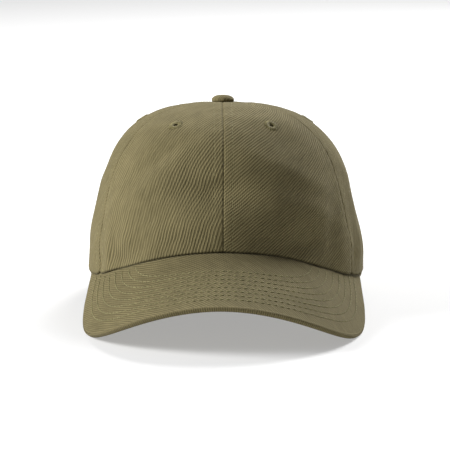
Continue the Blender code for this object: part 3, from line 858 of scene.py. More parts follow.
# The twills: the setting that spaces the wales, their lean in degrees, depth, contrast, bend in
# millimetres, the strength left where they fade, and which of the dyes they take
Twill = namedtuple("Twill", "spacing lean depth contrast bend least dye")
TWILLS = {
    "cotton_twill_crown": Twill("wale_spacing", 33, 0.00011, 0.46, 1.5, 0.50, "cloth"),
    "cotton_twill_bold": Twill("bold_wale_spacing", 33, 0.00011, 0.46, 3.4, 0.30, "cloth"),
    "cotton_twill_peak": Twill("peak_wale_spacing", 42, 0.00008, 0.44, 1.5, 0.50, "cloth"),
    "cotton_twill_button": Twill("trim_wale_spacing", 33, 0.00007, 0.30, 1.5, 0.50, "cloth"),
    "cotton_twill_rim": Twill("trim_wale_spacing", 0, 0.00016, 0.42, 1.5, 0.50, "cloth"),
    "cotton_twill_strap": Twill("trim_wale_spacing", 33, 0.00009, 0.40, 1.5, 0.50, "cloth"),
    "sweatband_twill": Twill("trim_wale_spacing", -45, 0.00008, 0.20, 1.5, 0.50, "lining"),
    "herringbone_tape": Twill("wale_spacing", 45, 0.00007, 0.22, 1.5, 0.50, "lining"),
}


def cotton_twill(name, colours, spacing, cloth):
    """Garment-washed cotton twill: diagonal wales of soft yarn, matt, a little fluffy, uneven
    in tone from the wash, paler on raised edges and darker where painted shade is laid into creases
    and over the peak. Real wales are about 0.7 mm apart, too fine
    for the photograph's size, so they are drawn at `spacing` millimetres."""
    material, tree = blank_material(name)
    uv = add_node(tree, "ShaderNodeUVMap", uv_map="cloth")
    sway = mottle(tree, uv, 0.045, outlet="Color")
    bent = add_node(tree, "ShaderNodeVectorMath",
                    {0: sway, 1: (cloth.bend, cloth.bend, 0.0), 2: uv}, operation="MULTIPLY_ADD")
    turned = add_node(tree, "ShaderNodeMapping",
                      {"Vector": bent, "Rotation": (0, 0, math.radians(cloth.lean))})
    across, along = add_node(tree, "ShaderNodeSeparateXYZ", {0: turned}).node.outputs[:2]
    phase = maths(tree, "MULTIPLY", across, 2 * math.pi / spacing)
    wale = maths(tree, "SINE", phase)
    floats = maths(tree, "SINE", added(tree, along, 2 * math.pi / (1.35 * spacing), phase))
    yarn = add_node(tree, "ShaderNodeMapping",
                    {"Vector": turned, "Scale": (1.1 / spacing, 0.09, 1.0)})
    slub, fuzz = mottle(tree, yarn, 1.0, 3.0, 0.6), mottle(tree, uv, 2.4, 3.0, 0.7)
    wash = mottle(tree, uv, 0.028, 3.0, 0.55)
    patch = ranged(tree, wash, 0.35, 0.65, cloth.least, 1.15)
    tone = added(tree, wale, maths(tree, "MULTIPLY", patch, cloth.contrast), 0.42)
    # The attribute pales rubbed edges, and below 0 paints shade into the crown's tucked hem and
    # over the peak
    wear_and_shade = add_node(tree, "ShaderNodeAttribute", outlet="Fac", attribute_name="wear_and_shade")
    for source, share in ((slub, 0.80), (fuzz, 0.30), (wash, 0.35), (wear_and_shade, 0.35)):
        tone = added(tree, source, share, tone)
    height = added(tree, fuzz, 0.9, added(tree, floats, 0.35, wale))
    finish_shader(tree, colours, ranged(tree, tone, 0.55, 1.55), (0.95, 0.82), height, cloth.depth,
                  {"IOR": 1.46, "Specular IOR Level": 0.12, "Sheen Weight": 0.03,
                   "Sheen Roughness": 0.5})
    return material


def spun_thread(name, colours):
    """Spun polyester sewing thread: two plies twisted round each other, softly shining. It is
    drawn up to half as thick again as real thread, which would be lost at this size."""
    material, tree = blank_material(name)
    place = add_node(tree, "ShaderNodeTexCoord", outlet="Object")
    twist = add_node(tree, "ShaderNodeTexWave",
                     {"Vector": place, "Scale": 700.0, "Distortion": 1.5, "Detail": 1.0}, "Fac",
                     bands_direction="DIAGONAL")
    tone = added(tree, twist, 0.45, mottle(tree, place, 300.0, dimensions="3D"))
    finish_shader(tree, colours, ranged(tree, tone, 0.35, 1.0), (0.75, 0.6), tone, 0.00008,
                  {"IOR": 1.5, "Specular IOR Level": 0.2, "Sheen Weight": 0.03})
    return material


def aged_brass(name, colours):
    """Die-cut brass slide, tumbled and left to dull: warm, brushed along its length, with
    darker tarnish in broad patches."""
    material, tree = blank_material(name)
    place = add_node(tree, "ShaderNodeTexCoord", outlet="Object")
    stretch = add_node(tree, "ShaderNodeMapping",
                       {"Vector": place, "Scale": (140.0, 140.0, 2600.0)})
    brushed = mottle(tree, stretch, 1.0, 3.0, dimensions="3D")
    tone = added(tree, brushed, 0.3, mottle(tree, place, 160.0, 4.0, dimensions="3D"))
    finish_shader(tree, colours, ranged(tree, tone, 0.45, 0.85), (0.5, 0.28), brushed, 0.00003,
                  {"Metallic": 1.0})
    return material


def pale_floor(name):
    """A sheet of matt white background paper, with the faintest tooth."""
    material, tree = blank_material(name)
    place = add_node(tree, "ShaderNodeTexCoord", outlet="Object")
    rough = ranged(tree, mottle(tree, place, 400.0, dimensions="3D"), 0.0, 1.0, 0.9, 1.0)
    shader = add_node(tree, "ShaderNodeBsdfPrincipled",
                      {"Base Color": (0.58, 0.58, 0.58, 1), "Specular IOR Level": 0.0,
                       "Emission Color": (1, 1, 1, 1), "Emission Strength": 0.36,
                       "Roughness": rough})
    add_node(tree, "ShaderNodeOutputMaterial", {"Surface": shader})
    return material


def material_of(kind):
    """Each finish, made the first time a piece asks for it."""
    found = bpy.data.materials.get(kind)
    if found:
        return found
    hat = bpy.context.scene.dad_hat

    def dyes(name):
        return getattr(hat, name + "_light"), getattr(hat, name + "_dark")
    if kind in TWILLS:
        cloth = TWILLS[kind]
        return cotton_twill(kind, dyes(cloth.dye), getattr(hat, cloth.spacing), cloth)
    maker, dye = {"seam_thread": (spun_thread, "thread"),
                  "eyelet_embroidery": (spun_thread, "eyelet"),
                  "aged_brass": (aged_brass, "brass")}[kind]
    return maker(kind, dyes(dye))


def spacing_property(label, use, default):
    return FloatProperty(name=label, description=use + ", in mm", default=default, min=0.5, max=4.0)


def length_property(label, use, default):
    return FloatProperty(name=label, description=use, default=default, min=0.0001, max=0.02,
                         subtype="DISTANCE", unit="LENGTH")


def colour_property(label, use, code):
    return FloatVectorProperty(name=label, description=use, default=linear(code), min=0.0, max=1.0,
                               size=3, subtype="COLOR")


class HatSettings(bpy.types.PropertyGroup):
    """Sizes, counts and colours that a user would change."""

    wale_spacing: spacing_property("Wales", "Distance between the crown's diagonal wales", 1.5)
    bold_wale_spacing: spacing_property("Bold wales", "The same on the gore that is lit best", 1.9)
    peak_wale_spacing: spacing_property("Peak wales", "Distance between the peak's wales", 1.7)
    trim_wale_spacing: spacing_property("Trim wales", "On the rim, button, band and strap", 1.3)
    stitch_pitch: length_property("Stitch pitch", "From one stitch to the next", 0.0036)
    stitch_length: length_property("Stitch length", "Thread that shows in one stitch", 0.0024)
    thread_width: length_property("Thread width", "Diameter of the sewing thread", 0.00050)
    peak_row_spacing: length_property("Peak rows", "Distance between the peak's rows", 0.0051)
    eyelet_wraps: IntProperty(name="Eyelet wraps", description="Turns of thread round each eyelet",
                              default=34, min=12, max=80)
    cloth_light: colour_property("Cloth", "Colour of the raised wales", "#7F7553")
    cloth_dark: colour_property("Cloth shade", "Colour between the wales", "#4F4931")
    lining_light: colour_property("Lining", "Raised colour of the band and tapes", "#7A7152")
    lining_dark: colour_property("Lining shade", "Deep colour of the band and tapes", "#59523B")
    thread_light: colour_property("Thread", "Colour of the sewing thread", "#969066")
    thread_dark: colour_property("Thread shade", "Colour between its plies", "#6E6848")
    eyelet_light: colour_property("Eyelet thread", "Colour of the embroidery", "#8C8359")
    eyelet_dark: colour_property("Eyelet thread shade", "Colour between its plies", "#5C5538")
    brass_light: colour_property("Brass", "Colour of the rubbed brass", "#9C8A60")
    brass_dark: colour_property("Tarnish", "Colour of the tarnished brass", "#665634")


def gore_shares(reach):
    """Stations across a gore: close together beside its seams."""
    span = GORE_SPAN * reach
    close = np.linspace(0, SEAM_BORDER, SEAM_COLUMNS)
    middle = np.linspace(SEAM_BORDER, span - SEAM_BORDER, GORE_COLUMNS)[1:-1]
    return np.concatenate([close, middle, span - close[::-1]]) / span


def row_shares(count):
    """Stations up a gore: close together at the hem."""
    even = np.linspace(0, 1, count)
    return 0.32 * even + 0.68 * even**2 * (1.35 - 0.35 * even)


@lru_cache(maxsize=None)
def arch_distance(azimuth):
    """How far up the cloth the rear arch cuts it away, at this azimuth."""
    low, high = 0.0, ARCH_HEIGHT * 1.4
    for _ in range(34):
        middle = (low + high) / 2
        point = crown_points(azimuth, middle)
        across = min(1.0, abs(point[0]) / ARCH_HALF_WIDTH)
        if point[2] < ARCH_HEIGHT * (1 - across * across) ** (1 / ARCH_FULLNESS):
            low = middle
        else:
            high = middle
    return low


def gore_stations(start):
    """The azimuths of a gore's columns, and where the cloth starts at each."""
    trim = 0.5 * GORE_GAP / CROWN_HALF_LENGTH
    middle = start + GORE_SPAN / 2
    azimuths = start + trim + gore_shares(plan_reach(middle)) * (GORE_SPAN - 2 * trim)
    corner, _ = arch_corner()
    if max(abs(wrapped(start)), abs(wrapped(start + GORE_SPAN))) < corner:
        return [(float(a), edge_distance(float(a))) for a in azimuths]
    side = math.copysign(1.0, wrapped(middle))
    kept = sorted(abs(wrapped(float(a))) for a in azimuths)
    kept = [a for a in kept if a < corner - 0.004] + [corner]
    arch = []
    for turn in np.linspace(0.02, math.pi / 2, 64):
        across = ARCH_HALF_WIDTH * math.cos(turn)
        rise = distance_at_height(corner, ARCH_HEIGHT * math.sin(turn) ** (2 / ARCH_FULLNESS))
        reach = float(np.interp(rise, *meridian(corner)[:2]))
        arch.append(math.pi - math.asin(min(1.0, across / reach)))
    arch[-1] = math.pi - trim
    stations = [(side * a, edge_distance(side * a)) for a in kept]
    stations += [(side * a, arch_distance(side * a)) for a in arch if a > corner + 0.001]
    return sorted(stations)


def make_gore(name, start):
    """One fine gore of the crown: folds, seams, channels, hem and eyelet hole."""
    azimuths, lows = [np.array(column)[:, None] for column in zip(*gore_stations(start))]
    front = tucked(azimuths)
    lows = lows - EDGE_TUCK * front
    tops = np.array([distance_at_reach(float(a), APEX_HOLE_RADIUS) for a in azimuths[:, 0]])
    distances = lows + row_shares(GORE_ROWS)[None, :] * (tops[:, None] - lows)
    reach, _ = reach_and_height(azimuths, distances)
    middle = start + GORE_SPAN / 2
    around = wrapped(azimuths - middle) * reach
    grain = math.radians(GRAINS[name])
    laid = np.stack([around * math.cos(grain) + distances * math.sin(grain),
                     distances * math.cos(grain) - around * math.sin(grain)], -1) * MM
    wear_and_shade = SEAM_WEAR * bell_at(seam_away(azimuths, reach), SEAM_WEAR_PLACE)
    # Hem: paler from wear behind the peak, and painted shadow in the crease where the front hem
    # tucks into the peak's seam
    hem_wear_and_shade = HEM_WEAR + (TUCKED_PAINTED_SHADE - HEM_WEAR) * front
    wear_and_shade += hem_wear_and_shade * bell(distances - lows - 0.0004, 0.0007 + 0.0004 * (1 - front))
    grid = at_rest(crown_points(azimuths, distances, fine=True))
    mesh = grid_mesh("gore_" + name, grid, laid, wear_and_shade=wear_and_shade)
    away = np.hypot(around, distances - EYELET_DISTANCE).ravel()
    with edited(mesh) as cut:
        gone = [face for face in cut.faces
                if all(away[vert.index] < EYELET_CUT_RADIUS for vert in face.verts)]
        bmesh.ops.delete(cut, geom=gone, context="FACES")
    flat = (GORE_SPAN * plan_reach(middle) * 1.02, float(distances.max() - distances.min()))
    cloth_piece("panel_cloth_" + name, mesh, GORE_CLOTHS.get(name, "cotton_twill_crown"), CLOTH,
                flat, "crown_cloth", "panel_" + name)


def make_tape(name, seam):
    """The woven tape sewn over a seam on the inside of the crown."""
    low = edge_distance(seam) + BAND_HEIGHT * 0.8
    if abs(wrapped(seam)) > SAG_FULL_AZIMUTH:
        low = arch_distance(seam) + HEM_ROLL
    top = distance_at_reach(seam, BUTTON_BACK_RADIUS + TAPE_HALF_WIDTH)
    distances = np.linspace(low, top, TAPE_ROWS)[None, :]
    sides = np.linspace(-1, 1, 11)[:, None]
    reach, _ = reach_and_height(seam, distances)
    azimuths = seam + sides * TAPE_HALF_WIDTH / reach
    depth = np.broadcast_to(CLOTH + GAP + SEAM_DIP * bell(1 - np.abs(sides), 0.8), azimuths.shape)
    worn = crown_points(azimuths, distances, depth, lining=True)
    uvs = paired(sides * TAPE_HALF_WIDTH, distances) * MM
    cloth_piece("seam_tape_" + name, grid_mesh("tape", at_rest(worn), uvs), "herringbone_tape",
                TAPE_THICKNESS, (2.04 * TAPE_HALF_WIDTH, (top - low) * 1.04), "crown_cloth")


class MakeCrown(bpy.types.Operator):
    """Makes the six gores of the crown and the tapes inside their seams"""

    bl_idname = "dad_hat.make_crown"
    bl_label = "Make crown"

    def execute(self, context):
        for name, start in GORES.items():
            make_gore(name, wrapped(math.radians(start)))
            make_tape(name, wrapped(math.radians(start)))
        return {"FINISHED"}


def peak_frame(count):
    """Stations round the peak: its root, its edge at even distances, the edge's normals, and
    those distances."""
    outline = np.array([peak_outline(share) for share in np.linspace(-1, 1, 1601)])
    edge, run = evenly(outline, count)
    tangent = unit(np.gradient(edge, axis=0))
    root = np.array([peak_root(float(share)) for share in np.linspace(-1, 1, count)])
    return root, edge, np.stack([-tangent[:, 1], tangent[:, 0]], -1), run


def edge_inset(girth, along):
    """How far inside the peak's outer edge these places of its pattern lie."""
    girth = np.abs(girth)
    root_girth, root_along = peak_root(1.0)
    slope = (root_girth - PEAK_HALF_GIRTH) / (PEAK_WIDEST - root_along - PEAK_END)
    reach = PEAK_LENGTH - PEAK_WIDEST

    def past(inset):
        return ((girth / (PEAK_HALF_GIRTH - inset)) ** PEAK_FULLNESS
                + (np.maximum(along - PEAK_WIDEST, 0) / (reach - inset)) ** PEAK_FULLNESS) > 1
    rounded = halved(np.full_like(girth, -0.01), np.full_like(girth, reach - 0.0005), 30, past)
    straight = PEAK_HALF_GIRTH + slope * (PEAK_WIDEST - along) - girth
    return np.where(along < PEAK_WIDEST, straight, rounded)


def peak_rows():
    spacing = bpy.context.scene.dad_hat.peak_row_spacing
    return [PEAK_FIRST_ROW + spacing * row for row in range(PEAK_ROW_COUNT)]


def peak_relief(girth, along):
    """The stitched channels of the peak and the soft swell between them."""
    inset = edge_inset(girth, along)
    rows = peak_rows()
    relief = np.zeros_like(inset)
    for row in rows:
        relief -= PEAK_CHANNEL_DEPTH * bell(inset - row - 0.0001, PEAK_CHANNEL_HALF_WIDTH)
    between = (ease((inset - rows[0] + PEAK_SWELL_FADE) / PEAK_SWELL_FADE)
               * ease((rows[-1] + PEAK_SWELL_FADE - inset) / PEAK_SWELL_FADE))
    uneven = PEAK_UNEVENNESS * noise_at(girth * 190, along * 190, 4.0)
    return relief + (PEAK_SWELL + uneven) * between


class MakePeak(bpy.types.Operator):
    """Makes the covered peak with its stitched channels and rim"""

    bl_idname = "dad_hat.make_peak"
    bl_label = "Make peak"

    def execute(self, context):
        root, edge, normal, run = peak_frame(PEAK_COLUMNS)
        round_by = PEAK_THICKNESS * PEAK_RIM_SHARE
        ring = edge - normal * round_by
        shares = np.linspace(0, 1, PEAK_ROWS)
        top = root[:, None] + (ring - root)[:, None] * shares[None, :, None]
        relief = peak_relief(top[..., 0], top[..., 1])
        turns = np.linspace(0, math.pi, RIM_ROWS + 2)[1:-1]
        out = round_by * np.abs(np.sin(turns)) ** PEAK_RIM_POWER
        lift = PEAK_THICKNESS / 2 * (signed_power(np.cos(turns), PEAK_RIM_POWER) - 1)[None, :]
        rim = ring[:, None] + normal[:, None] * out[None, :, None]
        under = top[:, ::-1]
        sides = ((top, relief), (rim, lift), (under, -PEAK_THICKNESS - relief[:, ::-1]))
        grid = at_rest(np.concatenate([peak_points(place[..., 0], place[..., 1], rise)
                                       for place, rise in sides], axis=1))
        uvs = np.concatenate([top, paired(run[:, None], lift), under], axis=1) * MM
        # Painted shade over the whole peak; the rim is paler from wear
        wear_and_shade = np.full(grid.shape[:2], PEAK_PAINTED_SHADE)
        wear_and_shade[:, PEAK_ROWS - 2:PEAK_ROWS + 2] = RIM_WEAR
        # Painted shadow at the peak's root, under the crown's edge
        wear_and_shade[:, :2] = ROOT_PAINTED_SHADE
        mesh = grid_mesh("peak", grid, uvs, closed_rows=True, wear_and_shade=wear_and_shade)
        rows = grid.shape[1]
        for face in mesh.polygons:
            if PEAK_ROWS - 1 <= face.index % rows <= PEAK_ROWS + RIM_ROWS:
                face.material_index = 1
        with edited(mesh) as capped:
            last = len(capped.verts) - rows
            capped.faces.new([capped.verts[row] for row in range(rows)])
            capped.faces.new([capped.verts[last + row] for row in range(rows)][::-1])
            bmesh.ops.recalc_face_normals(capped, faces=capped.faces)
        peak = put_in_scene("peak_covered", mesh, [material_of("cotton_twill_peak"),
                                                   material_of("cotton_twill_rim")])
        hand_over(peak, "peak_cloth", "peak")
        return {"FINISHED"}


def turned_grid(profile, steps, gathers=0.0):
    """Points of a turned piece: rings of (radius, height), with a few soft gathers."""
    turns = np.linspace(0, 2 * math.pi, steps + 1)
    profile = np.array(profile)
    radius, height = profile[:, 0], profile[:, 1]
    pull = gathers * np.cos(turns * 13 + 1.2 * np.sin(turns * 3)) * (radius.max() > 0)
    share = (radius / radius.max()) ** 5
    out = radius[None, :] * (1 + pull[:, None] * share[None, :])
    return np.stack([out * np.cos(turns)[:, None], out * np.sin(turns)[:, None],
                     np.broadcast_to(height, out.shape)], -1)


def sealed(mesh):
    """Joins the mesh's doubled points and turns its faces outwards."""
    with edited(mesh) as joined:
        bmesh.ops.remove_doubles(joined, verts=joined.verts, dist=0.000002)
        bmesh.ops.dissolve_degenerate(joined, edges=joined.edges, dist=0.000001)
        bmesh.ops.recalc_face_normals(joined, faces=joined.faces)
    return mesh


class MakeButton(bpy.types.Operator):
    """Makes the cloth covered button, its stem and its back plate"""

    bl_idname = "dad_hat.make_button"
    bl_label = "Make button"

    def execute(self, context):
        seat = CROWN_HEIGHT + GAP
        turns = np.linspace(0, math.pi / 2, 26)
        radius = BUTTON_RADIUS * np.sin(turns) ** 0.8
        height = seat + BUTTON_HEIGHT * (0.2 + 0.8 * np.cos(turns))
        profile = list(zip(radius, height))
        profile += [(BUTTON_RADIUS * 0.995, seat + BUTTON_HEIGHT * 0.1),
                    (BUTTON_RADIUS * 0.96, seat + BUTTON_HEIGHT * 0.03),
                    (BUTTON_RADIUS * 0.90, seat - 0.0004), (BUTTON_RADIUS * 0.55, seat - 0.0003)]
        under = CROWN_HEIGHT - SEAM_VALLEY - CLOTH - 2 * GAP
        profile += [(BUTTON_STEM_RADIUS, seat), (BUTTON_STEM_RADIUS, under),
                    (BUTTON_BACK_RADIUS, under),
                    (BUTTON_BACK_RADIUS * 1.02, under - BUTTON_BACK_ROLL),
                    (BUTTON_BACK_RADIUS * 0.9, under - BUTTON_BACK_THICKNESS),
                    (0, under - BUTTON_BACK_THICKNESS)]
        grid = turned_grid(profile, 88, gathers=BUTTON_GATHERS)
        drop = np.clip((seat + BUTTON_HEIGHT - grid[..., 2]) / BUTTON_HEIGHT, 0, 2)[..., None]
        uvs = grid[..., :2] * MM * (1 + 0.25 * drop)
        wear_and_shade = BUTTON_WEAR * bell(grid[..., 2] - (seat + 0.45 * BUTTON_HEIGHT), 0.0012)
        grid[..., 0] += CROWN_SWAY
        mesh = sealed(grid_mesh("button", at_rest(grid), uvs, wear_and_shade=wear_and_shade))
        button = put_in_scene("top_button_covered", mesh, [material_of("cotton_twill_button")])
        hand_over(button, "button_cloth", "top_button")
        return {"FINISHED"}


def eyelet_place(azimuth):
    """Where an eyelet sits on the fine cloth: its middle and its axes at rest."""
    step = 0.0034
    reach, _ = reach_and_height(azimuth, EYELET_DISTANCE)
    azimuths = azimuth + step / float(reach) * np.array([0, 0, -1, 1])
    distances = EYELET_DISTANCE + step * np.array([-1, 1, 0, 0])
    below, above, right, left = at_rest(crown_points(azimuths, distances, fine=True))
    across = unit(left - right)
    outward = unit(np.cross(across, above - below))
    axes = np.stack([across, np.cross(outward, across), outward])
    return (below + above + left + right) / 4, axes


def thread_tree():
    """Stitches along a path: short arched lengths of thread at an even pitch."""
    found = bpy.data.node_groups.get("row_of_stitches")
    if found:
        return found
    tree = bpy.data.node_groups.new("row_of_stitches", "GeometryNodeTree")
    sockets = {"Path": "Geometry", "Pitch": "Float", "Length": "Float", "Width": "Float",
               "Rise": "Float", "Seed": "Int", "Thread": "Material"}
    for label, kind in sockets.items():
        tree.interface.new_socket(label, in_out="INPUT", socket_type="NodeSocket" + kind)
    tree.interface.new_socket("Stitches", in_out="OUTPUT", socket_type="NodeSocketGeometry")
    asked = add_node(tree, "NodeGroupInput").node.outputs
    line = add_node(tree, "GeometryNodeMeshToCurve", {"Mesh": asked["Path"]})
    places = add_node(tree, "GeometryNodeResampleCurve", {"Curve": line, "Length": asked["Pitch"]},
                      mode="LENGTH")
    out, along = [add_node(tree, "GeometryNodeInputNamedAttribute", {"Name": key},
                           data_type="FLOAT_VECTOR") for key in ("out", "along")]
    turn = add_node(tree, "FunctionNodeAxesToRotation", {0: out, 1: along}, primary_axis="Z",
                    secondary_axis="X")
    sink = maths(tree, "MULTIPLY", asked["Width"], -0.45)
    start, end = [add_node(tree, "ShaderNodeCombineXYZ",
                           {0: maths(tree, "MULTIPLY", asked["Length"], side), 2: sink})
                  for side in (-0.5, 0.5)]
    crest = add_node(tree, "ShaderNodeCombineXYZ", {2: asked["Rise"]})
    arch = add_node(tree, "GeometryNodeCurveQuadraticBezier",
                    {"Resolution": 5, "Start": start, "Middle": crest, "End": end})
    ring = add_node(tree, "GeometryNodeCurvePrimitiveCircle",
                    {"Resolution": 6, "Radius": maths(tree, "MULTIPLY", asked["Width"], 0.5)})
    stitch = add_node(tree, "GeometryNodeCurveToMesh",
                      {"Curve": arch, "Profile Curve": ring, "Fill Caps": True})
    vary = add_node(tree, "FunctionNodeRandomValue", {2: 0.90, 3: 1.06, "Seed": asked["Seed"]}, 1,
                    data_type="FLOAT")
    sewn = add_node(tree, "GeometryNodeInstanceOnPoints",
                    {"Points": places, "Instance": stitch, "Rotation": turn, "Scale": vary})
    real = add_node(tree, "GeometryNodeRealizeInstances", {0: sewn})
    smooth = add_node(tree, "GeometryNodeSetShadeSmooth", {0: real})
    dyed = add_node(tree, "GeometryNodeSetMaterial",
                    {"Geometry": smooth, "Material": asked["Thread"]})
    add_node(tree, "NodeGroupOutput", {0: dyed})
    return tree


def one_finish(mesh, material):
    """Gives every face of the mesh the same material, in its only slot."""
    mesh.materials.clear()
    mesh.materials.append(material)
    mesh.polygons.foreach_set("material_index", np.zeros(len(mesh.polygons), np.int32))


def sew(name, chains, slot, thread="seam_thread", length=None, pitch=None, width=None, rise=None,
        closed=False):
    """Sews along chains of (points, outward, along) and hands the thread over as one piece."""
    hat = bpy.context.scene.dad_hat
    points, outs, alongs = [np.concatenate(part) for part in zip(*chains)]
    ends = set(np.cumsum([len(chain[0]) for chain in chains]).tolist())
    edges = [(at, at + 1) for at in range(len(points) - 1) if at + 1 not in ends]
    if closed:
        edges.append((len(points) - 1, 0))
    mesh = bpy.data.meshes.new(name)
    mesh.from_pydata(points.tolist(), edges, [])
    for key, values in (("out", outs), ("along", alongs)):
        layer = mesh.attributes.new(key, "FLOAT_VECTOR", "POINT")
        layer.data.foreach_set("vector", values.astype(np.float32).ravel())
    piece = bpy.data.objects.new(name, mesh)
    bpy.context.scene.collection.objects.link(piece)
    rows = piece.modifiers.new("stitches", "NODES")
    rows.node_group = thread_tree()
    width = width or hat.thread_width
    wanted = {"Pitch": pitch or hat.stitch_pitch, "Length": length or hat.stitch_length,
              "Width": width, "Rise": rise or width * 1.1, "Seed": THREAD_SEED,
              "Thread": material_of(thread)}
    for socket in rows.node_group.interface.items_tree:
        if socket.name in wanted:
            rows[socket.identifier] = wanted[socket.name]
    settle(piece)
    one_finish(piece.data, material_of(thread))
    return hand_over(piece, slot)


def chain_of(points, outs):
    """A chain whose stitches lie along it."""
    return points, outs, unit(np.gradient(points, axis=0))


def crown_chain(azimuths, distances, sink=0.0):
    """A chain over the crown's fine cloth through arrays of places."""
    points = crown_points(azimuths, distances, sink, fine=True)
    return chain_of(at_rest(points), smooth_normals(azimuths, distances))


def arch_place(turn, grow):
    """A place on the crown outside the rear arch's outline by `grow`."""
    across = (ARCH_HALF_WIDTH + grow) * math.cos(turn)
    height = (ARCH_HEIGHT + grow) * math.sin(turn) ** (2 / ARCH_FULLNESS)
    azimuth = math.pi
    for _ in range(6):
        distance = distance_at_height(azimuth, height)
        reach = float(reach_and_height(azimuth, distance)[0])
        azimuth = math.pi - math.asin(max(-1.0, min(1.0, across / reach)))
    return azimuth, distance


class SewCrown(bpy.types.Operator):
    """Sews the rows beside the crown's seams, round its hem and round the rear arch"""

    bl_idname = "dad_hat.sew_crown"
    bl_label = "Sew crown"

    def execute(self, context):
        chains = []
        for seam_number in range(6):
            seam = wrapped(GORE_SPAN * seam_number)
            low = edge_distance(seam) + SEAM_ROW_START
            if abs(seam) > SAG_FULL_AZIMUTH:
                low = arch_distance(seam) + ARCH_ROW_START
            top = distance_at_reach(seam, BUTTON_RADIUS + BUTTON_CLEARANCE)
            distances = np.linspace(low, top, 110)
            reach, _ = reach_and_height(seam, distances)
            for side in (-1, 1):
                azimuths = seam + side * TOPSTITCH / np.maximum(reach, 0.012)
                chains.append(crown_chain(azimuths, distances, THREAD_SINK))
        corner, _ = arch_corner()
        for side in (-1, 1):
            azimuths = side * np.linspace(PEAK_ROOT_AZIMUTH + 0.03, corner - 0.015, 120)
            chains.append(crown_chain(azimuths, edge_line(azimuths) + HEM_STITCH, THREAD_SINK))
        turns = np.linspace(0.07, math.pi - 0.07, 120)
        places = np.array([arch_place(float(turn), ARCH_STITCH) for turn in turns])
        chains.append(crown_chain(places[:, 0], places[:, 1], THREAD_SINK))
        sew("crown_topstitching", chains, "crown_cloth", width=CROWN_THREAD_WIDTH)
        return {"FINISHED"}


class SewPeak(bpy.types.Operator):
    """Sews the rows through the peak, over both of its covers"""

    bl_idname = "dad_hat.sew_peak"
    bl_label = "Sew peak"

    def execute(self, context):
        upward = np.array([0, -math.sin(PEAK_SLOPE), math.cos(PEAK_SLOPE)])
        chains = []
        root = np.array([peak_root(float(share)) for share in np.linspace(-1, 1, 181)])
        for inset in peak_rows():
            line = np.array([peak_outline(float(share), inset)
                             for share in np.linspace(-0.985, 0.985, 700)])
            seam = np.interp(line[:, 0], root[:, 0], root[:, 1])
            line, _ = evenly(line[line[:, 1] > seam + PEAK_ROW_CLEARANCE], 240)
            girth, along = line.T
            outs = np.cos(girth / PEAK_ROLL_RADIUS)[:, None] * upward
            outs[:, 0] = np.sin(girth / PEAK_ROLL_RADIUS)
            outs = turned_to_rest(outs)
            relief = peak_relief(girth, along) + THREAD_LIFT
            chains.append(chain_of(at_rest(peak_points(girth, along, relief)), outs))
            under = peak_points(girth, along, -PEAK_THICKNESS - relief)
            chains.append(chain_of(at_rest(under), -outs))
        sew("peak_stitching", chains, "peak_cloth", **PEAK_STITCH)
        return {"FINISHED"}


class MakeEyelets(bpy.types.Operator):
    """Makes the six embroidered eyelets: a padded ring wrapped in thread"""

    bl_idname = "dad_hat.make_eyelets"
    bl_label = "Make eyelets"

    def execute(self, context):
        hat = context.scene.dad_hat
        middle_radius = (EYELET_RADIUS + EYELET_HOLE_RADIUS) / 2
        half = (EYELET_RADIUS - EYELET_HOLE_RADIUS) / 2
        turns = np.linspace(0, 2 * math.pi, 17)
        pad = [(middle_radius + half * 0.94 * math.cos(turn),
                -EYELET_PAD_SINK + EYELET_PAD_RISE * math.sin(turn)) for turn in turns]
        barrel, rim = EYELET_CUT_RADIUS - EYELET_BARREL_WALL, EYELET_RADIUS * 0.75
        back, low = [-CLOTH - depth for depth in EYELET_BACK_DEPTHS]
        lining = [(EYELET_HOLE_RADIUS, 0.0), (barrel, 0.0), (barrel, back), (rim, back),
                  (rim, low), (EYELET_HOLE_RADIUS, low), (EYELET_HOLE_RADIUS, 0.0)]
        angles = np.linspace(0, 2 * math.pi, 73)[:-1]
        radial = np.stack([np.cos(angles), np.sin(angles), np.zeros(72)], -1)
        for name, start in GORES.items():
            middle, axes = eyelet_place(wrapped(math.radians(start) + GORE_SPAN / 2))
            parts = []
            for outline in (pad, lining):
                grid = turned_grid(outline, 48)
                mesh = sealed(grid_mesh("ring", grid @ axes + middle, grid[..., :2] * MM))
                parts.append(put_in_scene("ring", mesh, [material_of("eyelet_embroidery")]))
            chain = (radial * middle_radius) @ axes + middle + axes[2] * INNER_THREAD_LIFT
            outs = np.broadcast_to(axes[2], chain.shape)
            wraps = sew("eyelet_wraps_" + name, [(chain, outs, radial @ axes)], "eyelet_thread",
                        "eyelet_embroidery", length=2 * half + EYELET_WRAP_OVERHANG,
                        pitch=2 * math.pi * middle_radius / hat.eyelet_wraps, closed=True,
                        **EYELET_WRAP)
            joined = bmesh.new()
            for part in parts:
                joined.from_mesh(part.data)
                bpy.data.objects.remove(part)
            joined.from_mesh(wraps.data)
            joined.to_mesh(wraps.data)
            joined.free()
            one_finish(wraps.data, material_of("eyelet_embroidery"))
            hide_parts("eyelet_" + name)
        return {"FINISHED"}


def band_depth(azimuth):
    """The sweatband lies on the wall, and steps in to pass over the strap's tucked ends."""
    corner_azimuth, _ = arch_corner()
    to_corner = (corner_azimuth - np.abs(wrapped(azimuth))) * plan_reach(azimuth)
    step = ease((STRAP_TUCK + BAND_STEP_LENGTH - to_corner) / BAND_STEP_LENGTH)
    return CLOTH + LAYER_GAP + step * (STRAP_THICKNESS + LAYER_GAP)


